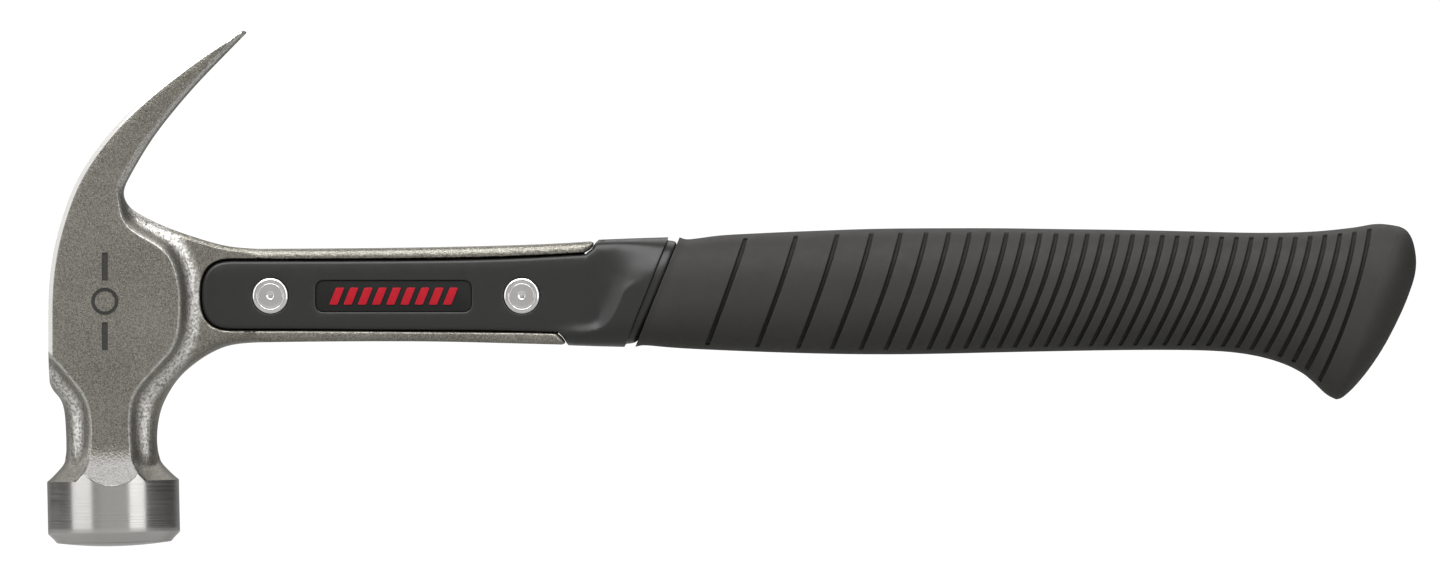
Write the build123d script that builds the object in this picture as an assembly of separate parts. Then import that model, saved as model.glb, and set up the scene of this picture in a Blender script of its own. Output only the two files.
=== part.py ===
"""Claw hammer: one-piece forged steel head, shank and tang, two riveted nylon core halves, a moulded rubber grip.

Frame, in millimetres: the origin is the centre of the striking face, +Z runs from the face up through the neck
to the claws, +X runs along the handle to its butt, and Y is the thickness, symmetric about Y = 0.
The user's left is -Y when the hammer is held up with its face forward.
"""

import os
from math import radians, tan

from build123d import *

# Striking end
POLL_RADIUS = 16.5
POLL_CHAMFER = 2.1
POLL_TILT = 1.2  # degrees that the face is turned towards the handle
CROWN_DEPTH = 1.1  # how far the middle of the face stands out from its rim
WALL_BOTTOM = 3.3  # where the round wall starts, above the face
FLARE_BOTTOM = 16.5  # where the neck starts to narrow
FLARE_TOP = 21.0
NECK_JOIN = 19.0  # below this height the neck stays inside the round wall
FACET_FOOT = 14.9  # where the sloping facet on each cheek meets the round wall
FACET_TOP = 23.2
FACET_HALF_WIDTH = 7.3

# Thickness of each zone, as half widths in Y
CHEEK_HALF = 12.5
SHANK_HALF = 7.5
WEB_HALF = 2.5
COVE_RADIUS = 3.0  # between a cheek's wall and the shank's face

# Claw slot
SLOT_LENGTH = 38.0
SLOT_ROOT_HALF = 1.0
SLOT_TIP_HALF = 4.4
SLOT_RUNOUT = 4.0  # how far the cut goes on past the claws' tips
CLAW_TIP = (32.8, 0, 128.6)
CLAW_DIRECTION = (0.697, 0, 0.717)  # from the slot's root towards the tips

# Shank window, which the core's tongues fill
WINDOW_START = 21.7
WINDOW_CORNER = 6.0
RAIL_HEIGHT = 2.75
TOP_RAIL_END = 120.6
BOTTOM_RAIL_END = 113.4
FIT_GAP = 0.25  # around a tongue, inside the window

# Tang inside the handle
TANG_END = 288.0
TANG_FRONT_HEIGHT = 17.0
TANG_END_HEIGHT = 12.0
TANG_MIDDLE = 63.2

# Plastic core
TONGUE_HALF = 7.7
TONGUE_EDGE = 0.8
RECESS_RADIUS = 12.6
RECESS_MIDDLE = (115.4, 65.2)
NECK_DEPTH = 0.85  # depth of the slanted gap in front of the grip
GRIP_WALL = 3.0

# Rivets
RIVET_HEIGHT = 62.6
FRONT_RIVET = 39.1
REAR_RIVET = 101.9
RIVET_HEAD_RADIUS = 4.5
RIVET_HEAD = 1.2
RIVET_DOME = 0.25
BARREL_RADIUS = 3.0
PIN_RADIUS = 2.0
BARREL_END = 4.5  # how far past the middle a barrel reaches
PIN_CLEARANCE = 0.5  # between a pin's end and a barrel's end

# Badges
BADGE_MIDDLE = (69.9, 62.5)
BADGE_SIZE = (38.8, 7.8)
BADGE_CORNER = 1.9
BADGE_POCKET = 1.1
BADGE_PLATE = 0.6
POCKET_GAP = 0.1  # around a badge plate, inside its pocket
MARK_COUNT = 9
MARK_WIDTH = 2.1
MARK_PITCH = 3.55
MARK_HEIGHT = 4.3
MARK_SLANT = 22.0
MARK_RAISE = 0.3

# Stations of the handle: top point, bottom point, both as (X, Z), and half width in Y
COLLAR_FRONT = ((121.0, 76.7), (113.7, 50.1), 9.6)
COLLAR_REAR = ((138.4, 77.35), (127.4, 49.7), 11.5)
GRIP_FRONT = ((141.5, 77.2), (130.3, 49.85), 12.0)
GRIP_STATIONS = (
    GRIP_FRONT,
    ((158.0, 78.1), (147.0, 49.2), 12.5),
    ((182.0, 79.1), (170.5, 48.3), 13.0),
    ((210.0, 79.5), (198.0, 47.95), 13.2),
    ((241.0, 79.25), (229.0, 48.6), 12.9),
    ((270.0, 78.7), (257.5, 49.05), 12.6),
    ((292.0, 78.4), (279.0, 48.4), 12.8),
    ((306.0, 79.2), (292.0, 45.7), 13.5),
    ((315.5, 80.6), (299.5, 41.2), 14.2),
    ((321.0, 80.0), (305.4, 36.7), 14.3),
    ((323.5, 78.4), (309.4, 39.2), 13.2),
    ((324.8, 75.5), (313.4, 43.9), 11.0),
    ((325.4, 72.0), (317.3, 49.7), 7.5),
    ((324.4, 67.0), (320.0, 54.8), 3.6),
)
CORE_STATIONS = 9  # how many of the grip's stations the core follows

ON_FLOOR = (Align.CENTER, Align.CENTER, Align.MIN)
CUT_THROUGH = 40.0  # longer than any part of the hammer is thick
BLOCK = Vector(500, 20, 300)  # bigger than the hammer's side view
BLOCK_MIDDLE = Vector(150, 0, 60)


def outline(*edges):
    """Flat face in the XZ plane from edges that follow each other."""
    return make_face([Plane.XZ * edge for edge in edges])


def plate(face, half):
    """Plate of a face in the XZ plane, reaching half to each side of Y = 0."""
    return extrude(face, half, both=True)


def beside(side, start):
    """Big block on one side of Y = 0 that begins at the distance start: side is -1 for the left, 1 for the right."""
    place = BLOCK_MIDDLE + Vector(0, side * (start + BLOCK.Y / 2), 0)
    return Pos(place) * Box(BLOCK.X, BLOCK.Y, BLOCK.Z)


def beyond(half):
    """Two big blocks that hold everything further from Y = 0 than half."""
    return beside(1, half) + beside(-1, half)


# ---------------------------------------------------------------- steel forging


def poll():
    """Turned striking end: crowned face, chamfer, round wall and a cone up to the neck."""
    rim = POLL_RADIUS - POLL_CHAMFER
    rim_height = CROWN_DEPTH
    profile = Polyline(
        (rim, rim_height),
        (POLL_RADIUS, WALL_BOTTOM),
        (POLL_RADIUS, FLARE_BOTTOM),
        (POLL_RADIUS - (FLARE_TOP - FLARE_BOTTOM), FLARE_TOP),
        (0, FLARE_TOP),
        (0, 0),
    )
    crown_radius = (rim**2 + CROWN_DEPTH**2) / (2 * CROWN_DEPTH)
    crown = RadiusArc((0, 0), (rim, rim_height), -crown_radius)
    return revolve(outline(profile, crown), Axis.Z)


def head_silhouette():
    """Side outline of neck, eye, claws and the start of the shank, down to inside the poll."""
    back = Spline((-15.9, 40.1), (-16.2, 56), (-14.25, 76.4), (-8.2, 92.9), (2.1, 106.4), (16.0, 118.4), (32.4, 128.8))
    tip = Line((32.4, 128.8), (32.8, 128.3))
    inner = Spline((32.8, 128.3), (25.1, 120.8), (14.7, 108.9), (6.2, 96.9), (2.8, 90.6))
    crotch = ThreePointArc((2.8, 90.6), (2.2, 88.0), (3.9, 84.7))
    saddle = Spline((3.9, 84.7), (12.6, 79.9), (21.2, 76.9), (34.0, 74.4))
    step = Polyline((34.0, 74.4), (34.0, 50.9))
    throat = Spline((34.0, 50.9), (22.6, 47.5), (14.3, 39.5), (10.7, 27.6), tangents=((-1, 0), (0, -1)))
    bottom = Polyline((10.7, 27.6), (10.7, 14.0), (-11.9, 14.0), (-11.9, 30.0))
    shoulder = Spline((-11.9, 30.0), (-12.7, 35.0), (-15.9, 40.1), tangents=((0, 1), (-0.7, 0.7)))
    return outline(back, tip, inner, crotch, saddle, step, throat, bottom, shoulder)


def cheek_outline():
    """The full-thickness zone: a strip up the neck that widens over the eye, joined to the whole claw."""
    neck_left = Spline((-7.6, 14.0), (-5.7, 27.0), (-6.6, 36.0), (-10.2, 41.4), tangents=((0.2, 1), (-0.65, 0.75)))
    lead = Line((-10.2, 41.4), (-18.0, 50.3))
    out = Polyline((-18.0, 50.3), (-40, 60), (-40, 140), (50, 140), (50, 122), (2.8, 90.6))
    front = Spline((2.8, 90.6), (1.8, 84.5), (4.3, 79.3), (10.7, 75.5))
    eye = Spline((10.7, 75.5), (15.0, 70.7), (16.6, 61.5), (15.8, 52.8), (12.4, 47.0), tangents=((0.8, -0.5), (-0.6, -0.8)))
    lower = Line((12.4, 47.0), (7.6, 41.4))
    neck_right = Spline((7.6, 41.4), (4.6, 36.3), (4.1, 28.0), (7.0, 14.0), tangents=((-0.6, -0.8), (0.25, -1)))
    bottom = Line((7.0, 14.0), (-7.6, 14.0))
    return outline(neck_left, lead, out, front, eye, lower, neck_right, bottom)


def claw_slot():
    """V slot between the two claws, cut square through them, with a round root."""
    along = Vector(CLAW_DIRECTION)
    root = Vector(CLAW_TIP) - along * SLOT_LENGTH
    plane = Plane(origin=root, x_dir=along, z_dir=along.cross(Vector(0, 1, 0)))
    length = SLOT_LENGTH + SLOT_RUNOUT
    growth = (SLOT_TIP_HALF - SLOT_ROOT_HALF) / SLOT_LENGTH
    wide = SLOT_ROOT_HALF + growth * length
    wedge = Polygon(
        (0, -SLOT_ROOT_HALF), (length, -wide), (length, wide), (0, SLOT_ROOT_HALF), align=None
    )
    return extrude(plane * (wedge + Circle(SLOT_ROOT_HALF)), CUT_THROUGH, both=True)


def face_facet():
    """Wedge that carries the cheek out to the poll's round wall."""
    left = ((-POLL_RADIUS, FACET_FOOT), (-CHEEK_HALF, FACET_TOP))
    right = ((CHEEK_HALF, FACET_TOP), (POLL_RADIUS, FACET_FOOT))
    side = Plane.YZ * Polyline(*left, *right, close=True)
    return extrude(make_face(side), FACET_HALF_WIDTH, both=True)


def rail_line(end, top):
    """Points along a shank rail's outer edge, from the eye to its end. top picks the upper rail."""
    if top:
        return ((34.0, 74.4), (84.0, 74.9), (end, 76.5))
    return ((34.0, 50.9), (80.0, 51.25), (end, 50.35))


def shank_outline():
    """Side outline of the shank, ending where the two rails end."""
    top = Spline(*rail_line(TOP_RAIL_END, True))
    bottom = Spline(*rail_line(BOTTOM_RAIL_END, False))
    end = Line(top @ 1, bottom @ 1)
    start = Line(top @ 0, bottom @ 0)
    return outline(top, end, bottom, start)


def window_outline(gap=0.0):
    """Window between the rails, round at the head's end and open at the handle's end. gap shrinks it."""
    inset = RAIL_HEIGHT + gap
    top = [(x, z - inset) for x, z in rail_line(TOP_RAIL_END + 1, True)]
    bottom = [(x, z + inset) for x, z in rail_line(BOTTOM_RAIL_END + 1, False)]
    start = WINDOW_START + gap
    left_top = (start + WINDOW_CORNER, top[0][1])
    left_bottom = (start + WINDOW_CORNER, bottom[0][1])
    middle = (top[0][1] + bottom[0][1]) / 2
    upper = Spline(left_top, *top)
    lower = Spline(left_bottom, *bottom)
    nose = Spline(
        left_bottom, (start, middle), left_top, tangents=((-1, 0), (1, 0)), tangent_scalars=(1.2, 1.2)
    )
    end = Line(upper @ 1, lower @ 1)
    return outline(upper, end, lower, nose)


def tang_outline():
    """Tang that carries the web on into the handle and gets lower towards its round end."""
    front, end = TANG_FRONT_HEIGHT / 2, TANG_END_HEIGHT / 2
    body = Polygon(
        (30, TANG_MIDDLE - front),
        (TANG_END - end, TANG_MIDDLE - end),
        (TANG_END - end, TANG_MIDDLE + end),
        (30, TANG_MIDDLE + front),
        align=None,
    )
    return Plane.XZ * (body + Pos(TANG_END - end, TANG_MIDDLE) * Circle(end))


def through_hole(x, radius):
    """Round hole across the handle at the rivets' height."""
    return Pos(x, 0, RIVET_HEIGHT) * Rot(90, 0, 0) * Cylinder(radius, CUT_THROUGH)


def cove(blank, rim):
    """Round the inner corner between the cheek's front wall and the shank's face, on both sides."""

    def is_corner(edge):
        middle = edge @ 0.5
        on_face = abs(abs(middle.Y) - SHANK_HALF) < 0.01
        return on_face and middle.X > 0 and rim.distance_to(Vertex(middle.X, 0, middle.Z)) > 0.3

    return fillet(blank.edges().filter_by(is_corner), COVE_RADIUS)


def forging():
    """Head, claws, shank with two rails and a web, and tang, in one steel piece."""
    silhouette = head_silhouette()
    side_body = plate(silhouette, SHANK_HALF)
    cheek = plate(silhouette, CHEEK_HALF) & plate(cheek_outline(), CUT_THROUGH)
    blank = cove(side_body + cheek, silhouette.face().outer_wire())
    turned = Cylinder(POLL_RADIUS, NECK_JOIN, align=ON_FLOOR)
    above = Pos(0, 0, NECK_JOIN) * Box(BLOCK.X, CUT_THROUGH, BLOCK.Z, align=ON_FLOOR)
    neck = (blank + face_facet()) & (turned + above)
    end = Rot(0, -POLL_TILT, 0) * poll()
    shank = plate(shank_outline(), SHANK_HALF) - (plate(window_outline(), CUT_THROUGH) & beyond(WEB_HALF))
    tang = plate(tang_outline(), WEB_HALF)
    body = neck + end + shank + tang - claw_slot()
    for x in (FRONT_RIVET, REAR_RIVET):
        body -= through_hole(x, BARREL_RADIUS)
    return body


# ---------------------------------------------------------------- plastic core


def section(station, inset=0.0):
    """Oval across the handle at one station, made smaller all round by inset."""
    top, bottom, half = station
    high = Vector(top[0], 0, top[1])
    low = Vector(bottom[0], 0, bottom[1])
    up = (high - low).normalized()
    plane = Plane(origin=(high + low) / 2, x_dir=up, z_dir=up.cross(Vector(0, -1, 0)))
    return plane * Ellipse((high - low).length / 2 - inset, half - inset)


def tongue():
    """Flat plastic filling of the shank's window, on both sides, with rounded edges outside the collar."""
    body = plate(window_outline(FIT_GAP), TONGUE_HALF)
    faces_out = body.edges().filter_by(lambda edge: abs(abs(edge.center().Y) - TONGUE_HALF) < 0.01)
    in_view = faces_out.filter_by(lambda edge: edge.center().X < BOTTOM_RAIL_END)
    return fillet(in_view, TONGUE_EDGE)


def recess():
    """Hollow in the collar's front on each side, where the tongue's flat face runs into it."""
    x, z = RECESS_MIDDLE
    disc = Pos(x, 0, z) * Rot(90, 0, 0) * Cylinder(RECESS_RADIUS, CUT_THROUGH)
    return disc & beyond(TONGUE_HALF)


def core():
    """Collar, slanted neck, the part under the grip and the tongues, before it is split in two."""
    collar = loft([section(COLLAR_FRONT), section(COLLAR_REAR)])
    neck = loft([section(COLLAR_REAR, NECK_DEPTH), section(GRIP_FRONT, NECK_DEPTH)])
    inner = loft([section(station, GRIP_WALL) for station in GRIP_STATIONS[:CORE_STATIONS]])
    return collar - recess() + neck + inner + tongue()


def badge_face(margin=0.0):
    """Round-cornered badge outline in the XZ plane, with an even margin around it."""
    x, z = BADGE_MIDDLE
    width, height = BADGE_SIZE
    shape = RectangleRounded(width + 2 * margin, height + 2 * margin, BADGE_CORNER + margin)
    return Plane.XZ * Pos(x, z) * shape


def half_of(body, side):
    """What a body has on one side of Y = 0: side is -1 for the left, 1 for the right."""
    return body & beside(side, 0)


# ---------------------------------------------------------------- fasteners and badges


def rivet_head():
    """Low domed head with its flat underside, on the +Z side, its rim at the tongue's face."""
    seat = TONGUE_HALF - RIVET_HEAD
    height = RIVET_HEAD + RIVET_DOME
    disc = Pos(0, 0, seat) * Cylinder(RIVET_HEAD_RADIUS, height, align=ON_FLOOR)
    dome_radius = (RIVET_HEAD_RADIUS**2 + RIVET_DOME**2) / (2 * RIVET_DOME)
    return disc & Pos(0, 0, seat + height - dome_radius) * Sphere(dome_radius)


def rivet_post():
    """Headed barrel that goes in from the left, with a bore for the pin."""
    seat = TONGUE_HALF - RIVET_HEAD
    length = seat + BARREL_END
    barrel = Pos(0, 0, -BARREL_END) * Cylinder(BARREL_RADIUS, length, align=ON_FLOOR)
    bore = Pos(0, 0, -BARREL_END) * Cylinder(PIN_RADIUS, 2 * BARREL_END, align=ON_FLOOR)
    return Rot(90, 0, 0) * (rivet_head() + barrel - bore)


def rivet_cap():
    """Headed pin that is pressed into the barrel from the right."""
    seat = TONGUE_HALF - RIVET_HEAD
    length = seat + BARREL_END - PIN_CLEARANCE
    pin = Pos(0, 0, seat - length) * Cylinder(PIN_RADIUS, length, align=ON_FLOOR)
    return Rot(-90, 0, 0) * (rivet_head() + pin)


def rivet_row(rivet):
    """The same rivet at both places along the shank."""
    return [Pos(x, 0, RIVET_HEIGHT) * rivet for x in (FRONT_RIVET, REAR_RIVET)]


def badge_plate(side):
    """Thin plate at the bottom of its pocket."""
    floor = TONGUE_HALF - BADGE_POCKET
    layer = extrude(badge_face(), floor + BADGE_PLATE, both=True) - extrude(badge_face(1), floor, both=True)
    return half_of(layer, side)


def badge_marks(side):
    """Row of slanted raised bars on the plate."""
    lean = tan(radians(MARK_SLANT)) * MARK_HEIGHT / 2
    low, high = -MARK_HEIGHT / 2, MARK_HEIGHT / 2
    wide = MARK_WIDTH / 2
    bar = Polygon((-wide - lean, low), (wide - lean, low), (wide + lean, high), (lean - wide, high), align=None)
    foot = TONGUE_HALF - BADGE_POCKET + BADGE_PLATE
    x, z = BADGE_MIDDLE
    marks = []
    for number in range(MARK_COUNT):
        place = x + (number - (MARK_COUNT - 1) / 2) * MARK_PITCH
        solid = extrude(bar, MARK_RAISE)
        stand = Pos(place, side * foot, z) * Rot(90, 0, 0)
        if side > 0:
            stand = Pos(place, foot + MARK_RAISE, z) * Rot(90, 0, 0)
        marks.append(stand * solid)
    return marks


# ---------------------------------------------------------------- grip


def grip_sleeve(core_body):
    """Rubber grip, open at the front around the core and closed over the butt."""
    return loft([section(station) for station in GRIP_STATIONS]) - core_body


def write(name, solids):
    """Write one node's solids to its STEP file."""
    export_step(Compound(label=name, children=list(solids)), f"parts/{name}.step")


def main():
    os.makedirs("parts", exist_ok=True)
    steel = forging()
    inner = core()
    posts = rivet_row(rivet_post())
    caps = rivet_row(rivet_cap())
    plastic = inner - steel
    for piece in posts + caps:
        plastic -= piece
    for x in (FRONT_RIVET, REAR_RIVET):
        plastic -= through_hole(x, BARREL_RADIUS)
    for side in (-1, 1):
        pocket = half_of(extrude(badge_face(POCKET_GAP), CUT_THROUGH, both=True) & beyond(TONGUE_HALF - BADGE_POCKET), side)
        plastic -= pocket
    write("forged_head_and_tang", steel.solids())
    write("left_core_half", half_of(plastic, -1).solids())
    write("right_core_half", half_of(plastic, 1).solids())
    write("rivet_posts", [piece.solid() for piece in posts])
    write("rivet_caps", [piece.solid() for piece in caps])
    write("left_badge_plate", badge_plate(-1).solids())
    write("right_badge_plate", badge_plate(1).solids())
    write("left_badge_marks", [piece.solid() for piece in badge_marks(-1)])
    write("right_badge_marks", [piece.solid() for piece in badge_marks(1)])
    write("grip_sleeve", grip_sleeve(inner).solids())


if __name__ == "__main__":
    main()
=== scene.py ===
"""Looks of a claw hammer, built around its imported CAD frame.

Shapes are worked out in millimetres in the frame's own axes: X along the handle, Z from the striking
face to the claws, Y across the thickness. Each mesh is scaled to metres when it is made.
"""

import math

import bmesh
import bpy
import numpy as np
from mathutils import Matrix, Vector
from mathutils.geometry import delaunay_2d_cdt
from mathutils.kdtree import KDTree

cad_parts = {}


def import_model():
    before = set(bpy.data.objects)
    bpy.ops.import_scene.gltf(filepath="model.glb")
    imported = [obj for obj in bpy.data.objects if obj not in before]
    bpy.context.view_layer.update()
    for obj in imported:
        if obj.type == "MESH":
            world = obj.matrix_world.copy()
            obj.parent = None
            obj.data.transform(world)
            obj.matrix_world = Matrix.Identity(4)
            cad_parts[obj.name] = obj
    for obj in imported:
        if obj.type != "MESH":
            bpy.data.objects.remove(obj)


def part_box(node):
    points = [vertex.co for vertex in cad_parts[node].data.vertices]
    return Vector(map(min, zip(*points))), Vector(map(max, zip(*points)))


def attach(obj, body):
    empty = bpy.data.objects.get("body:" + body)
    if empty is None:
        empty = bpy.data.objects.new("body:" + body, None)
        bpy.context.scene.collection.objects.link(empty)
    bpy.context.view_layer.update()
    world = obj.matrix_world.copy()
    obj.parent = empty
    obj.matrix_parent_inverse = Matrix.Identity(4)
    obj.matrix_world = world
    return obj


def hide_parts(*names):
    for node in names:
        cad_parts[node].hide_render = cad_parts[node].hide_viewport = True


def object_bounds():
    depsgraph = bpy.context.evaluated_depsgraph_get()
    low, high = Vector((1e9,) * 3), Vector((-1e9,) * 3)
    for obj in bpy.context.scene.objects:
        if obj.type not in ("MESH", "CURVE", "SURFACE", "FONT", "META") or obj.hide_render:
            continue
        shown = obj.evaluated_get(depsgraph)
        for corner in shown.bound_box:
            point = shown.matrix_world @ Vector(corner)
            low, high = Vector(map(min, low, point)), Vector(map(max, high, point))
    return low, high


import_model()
CAD_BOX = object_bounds()

# ------------------------------------------------------------------ sizes, from the frame

MM = 1000.0


def box_mm(node):
    """Low and high corner of a CAD node, in millimetres."""
    return [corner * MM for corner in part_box(node)]


RIVETS = box_mm("rivet_posts")
PLATE = box_mm("left_badge_plate")
MARKS = box_mm("left_badge_marks")

POLL_RADIUS = box_mm("forged_head_and_tang")[1].y  # the poll is the round striking end
POLL_TILT = math.radians(1.2)
CHEEK = POLL_RADIUS - 4.0  # half thickness of cheeks and claws
SHANK = POLL_RADIUS - 9.0  # half thickness of the shank's rails and the neck's sides
WEB = 2.5  # half thickness of the web and the tang
TANG_MIDDLE = 63.2
RIVET_HEIGHT = (RIVETS[0].z + RIVETS[1].z) / 2
RIVET_RADIUS = (RIVETS[1].z - RIVETS[0].z) / 2
RIVET_PLACES = (RIVETS[0].x + RIVET_RADIUS, RIVETS[1].x - RIVET_RADIUS)

# ------------------------------------------------------------------ plane geometry


def spline(points, spacing):
    """Smooth curve through points, as an even polyline of about the given spacing."""
    points = np.array(points, float)
    if len(points) == 2:
        return even(points, spacing)
    step = np.sqrt(np.linalg.norm(np.diff(points, axis=0), axis=1))
    knots = np.concatenate([[0], np.cumsum(step)])
    size = len(points)
    matrix = np.eye(size)
    right = np.zeros_like(points)
    slopes = np.diff(points, axis=0) / step[:, None]
    for i in range(1, size - 1):
        matrix[i, i - 1 : i + 2] = step[i - 1], 2 * (step[i - 1] + step[i]), step[i]
        right[i] = 6 * (slopes[i] - slopes[i - 1])
    bend = np.linalg.solve(matrix, right)
    at = np.linspace(0, knots[-1], 60 * size)
    i = np.clip(np.searchsorted(knots, at) - 1, 0, size - 2)
    h = step[i][:, None]
    a = (knots[i + 1] - at)[:, None] / h
    b = 1 - a
    fine = a * points[i] + b * points[i + 1]
    fine += ((a**3 - a) * bend[i] + (b**3 - b) * bend[i + 1]) * h**2 / 6
    return even(fine, spacing)


def even(line, spacing):
    """The same polyline with points at even distances."""
    run = np.concatenate([[0], np.cumsum(np.linalg.norm(np.diff(line, axis=0), axis=1))])
    count = max(1, round(run[-1] / spacing))
    at = np.linspace(0, run[-1], count + 1)
    return np.stack([np.interp(at, run, line[:, k]) for k in range(2)], axis=1)


def path(start, curves):
    """Lines that follow each other. Each curve is a spacing and the points after the last line's end."""
    lines = []
    for spacing, points in curves:
        lines.append(spline([start, *points], spacing))
        start = points[-1]
    return lines


def chain(*lines):
    """One closed loop from lines that follow each other, with shared ends kept once."""
    return np.concatenate([line[:-1] for line in lines])


def circle(middle, radius, count=56):
    """Circle as a closed loop."""
    turn = np.linspace(0, 2 * math.pi, count, endpoint=False)
    return np.stack([middle[0] + radius * np.cos(turn), middle[1] + radius * np.sin(turn)], axis=1)


def nearest(points, loop, closed=True):
    """Distance from each point to a polyline, and where along it (in vertices) the nearest place is."""
    start = loop if closed else loop[:-1]
    end = np.roll(loop, -1, axis=0) if closed else loop[1:]
    along = end - start
    square = np.maximum((along**2).sum(1), 1e-12)
    best = np.empty(len(points))
    place = np.empty(len(points))
    batch = 2000  # points at a time, to keep the arrays small
    for low in range(0, len(points), batch):
        part = points[low : low + batch, None, :] - start[None]
        share = np.clip((part * along[None]).sum(2) / square, 0, 1)
        gap = ((part - share[..., None] * along[None]) ** 2).sum(2)
        pick = gap.argmin(1)
        rows = np.arange(len(pick))
        best[low : low + batch] = np.sqrt(gap[rows, pick])
        place[low : low + batch] = pick + share[rows, pick]
    return best, place


def inside(points, loop):
    """Whether each point is inside a closed loop."""
    x, z = points[:, :1], points[:, 1:]
    ax, az = loop[:, 0][None], loop[:, 1][None]
    bx, bz = np.roll(ax, -1, axis=1), np.roll(az, -1, axis=1)
    crosses = (az > z) != (bz > z)
    at = ax + (z - az) * (bx - ax) / np.where(bz == az, 1e-9, bz - az)
    return (crosses & (x < at)).sum(1) % 2 == 1


def depth_in(points, loop):
    """Signed distance to a closed loop: positive inside, negative outside."""
    return nearest(points, loop)[0] * np.where(inside(points, loop), 1, -1)


def normals(line, closed):
    """Unit normals on the left of a polyline's direction."""
    ahead = np.roll(line, -1, axis=0) - line
    back = line - np.roll(line, 1, axis=0)
    if not closed:
        ahead[-1], back[0] = back[-1], ahead[0]
    ahead /= np.linalg.norm(ahead, axis=1)[:, None]
    back /= np.linalg.norm(back, axis=1)[:, None]
    along = ahead + back
    along /= np.maximum(np.linalg.norm(along, axis=1), 1e-9)[:, None]
    return np.stack([-along[:, 1], along[:, 0]], axis=1)


def smooth_step(value, low, high):
    """0 below low, 1 above high, with an even S curve between."""
    t = np.clip((value - low) / (high - low), 0, 1)
    return t * t * (3 - 2 * t)


def smooth_max(a, b, width):
    """The greater of two heights, blended where they are closer than width."""
    share = np.clip(0.5 + (a - b) / (2 * width), 0, 1)
    return b + (a - b) * share + width * share * (1 - share)


def quarter(share):
    """How far a quarter circle has dropped at a share of its width, both from 0 to 1."""
    return 1 - np.sqrt(1 - share**2)


class Cloud:
    """Points for a triangulation: each new batch keeps clear of the points that are there already."""

    def __init__(self, boundary):
        self.loop = boundary
        self.points = boundary.copy()

    def add(self, batch, clear, edge_clear=None):
        """Add the points of a batch that lie inside the boundary and are clear of earlier ones."""
        batch = batch[inside(batch, self.loop)]
        batch = batch[nearest(batch, self.loop)[0] > (edge_clear or clear)]
        tree = KDTree(len(self.points))
        for index, point in enumerate(self.points):
            tree.insert((point[0], point[1], 0), index)
        tree.balance()
        free = [p for p in batch if tree.find((p[0], p[1], 0))[2] > clear]
        if free:
            self.points = np.concatenate([self.points, np.array(free)])

    def add_offsets(self, line, offsets, clear, closed=True):
        """Add copies of a line at signed distances on its left, less those too near another stretch."""
        sides = normals(line, closed)
        for offset in offsets:
            batch = line + sides * offset
            true_gap = nearest(batch, line, closed)[0]
            batch = batch[np.abs(true_gap - abs(offset)) < 0.08 + 0.02 * abs(offset)]
            if len(batch):
                self.add(batch, clear)

    def add_grid(self, spacing, clear):
        """Fill what is left with an even triangular grid."""
        low, high = self.loop.min(0), self.loop.max(0)
        rows = np.arange(low[1], high[1], spacing * 0.866)
        batch = []
        for number, z in enumerate(rows):
            xs = np.arange(low[0] + spacing / 2 * (number % 2), high[0], spacing)
            batch.append(np.stack([xs, np.full_like(xs, z)], axis=1))
        self.add(np.concatenate(batch), clear, 0.5)

    def triangles(self, warp=None):
        """Triangulate inside the boundary. warp moves the points for this step only."""
        flat = warp(self.points) if warp else self.points
        loop = list(range(len(self.loop)))
        edges = [(i, (i + 1) % len(loop)) for i in loop]
        result = delaunay_2d_cdt([Vector(p) for p in flat.tolist()], edges, [loop], 1, 1e-7)
        source = [origin[0] if origin else -1 for origin in result[3]]
        return [tuple(source[v] for v in face) for face in result[2]]


# ------------------------------------------------------------------ meshes


def stand(plane, y):
    """Plane points at the given Y, as points of the hammer."""
    return np.stack([plane[:, 0], np.broadcast_to(y, len(plane)), plane[:, 1]], axis=1)


def quads(count, size, first=0, closed=True):
    """Faces between neighbouring rows of equally many vertices."""
    faces = []
    for a in range(first, first + (count - 1) * size, size):
        for k in range(size if closed else size - 1):
            n = (k + 1) % size
            faces.append((a + k, a + n, a + size + n, a + size + k))
    return faces


def shifted(faces, start):
    """Faces with their vertex numbers moved on."""
    return [tuple(start + v for v in face) for face in faces]


def loft(rings, first_cap=True, last_cap=True):
    """Vertices and faces of a body through closed rings, with or without a face over each end."""
    count, size = len(rings), len(rings[0])
    faces = quads(count, size)
    if first_cap:
        faces.append(tuple(range(size)))
    if last_cap:
        faces.append(tuple(range((count - 1) * size, count * size)))
    return np.concatenate(rings), faces


def new_object(name, vertices, faces, sharp=35):
    """Mesh object from millimetres, smooth but for edges sharper than the given angle in degrees."""
    mesh = bpy.data.meshes.new(name)
    mesh.from_pydata((np.array(vertices) / MM).tolist(), [], faces)
    work = bmesh.new()
    work.from_mesh(mesh)
    bmesh.ops.remove_doubles(work, verts=work.verts, dist=2e-6)
    bmesh.ops.dissolve_degenerate(work, edges=work.edges, dist=1e-7)
    bmesh.ops.recalc_face_normals(work, faces=work.faces)
    work.to_mesh(mesh)
    work.free()
    mesh.shade_smooth()
    mesh.set_sharp_from_angle(angle=math.radians(sharp))
    made = bpy.data.objects.new(name, mesh)
    bpy.context.scene.collection.objects.link(made)
    return made


def join_parts(name, parts, sharp):
    """One object from several pairs of vertices and faces."""
    vertices, faces = [], []
    for more, cells in parts:
        faces += shifted(cells, len(vertices))
        vertices += more.tolist()
    return new_object(name, vertices, faces, sharp)


def store(piece, name, domain, values):
    """Store one number per face or vertex for the materials."""
    layer = piece.data.attributes.new(name, "FLOAT", domain)
    layer.data.foreach_set("value", np.asarray(values, np.float32))


def read(items, field):
    """A vector of each of a mesh's faces or vertices, as rows."""
    values = np.empty(len(items) * 3)
    items.foreach_get(field, values)
    return values.reshape(-1, 3)


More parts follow.
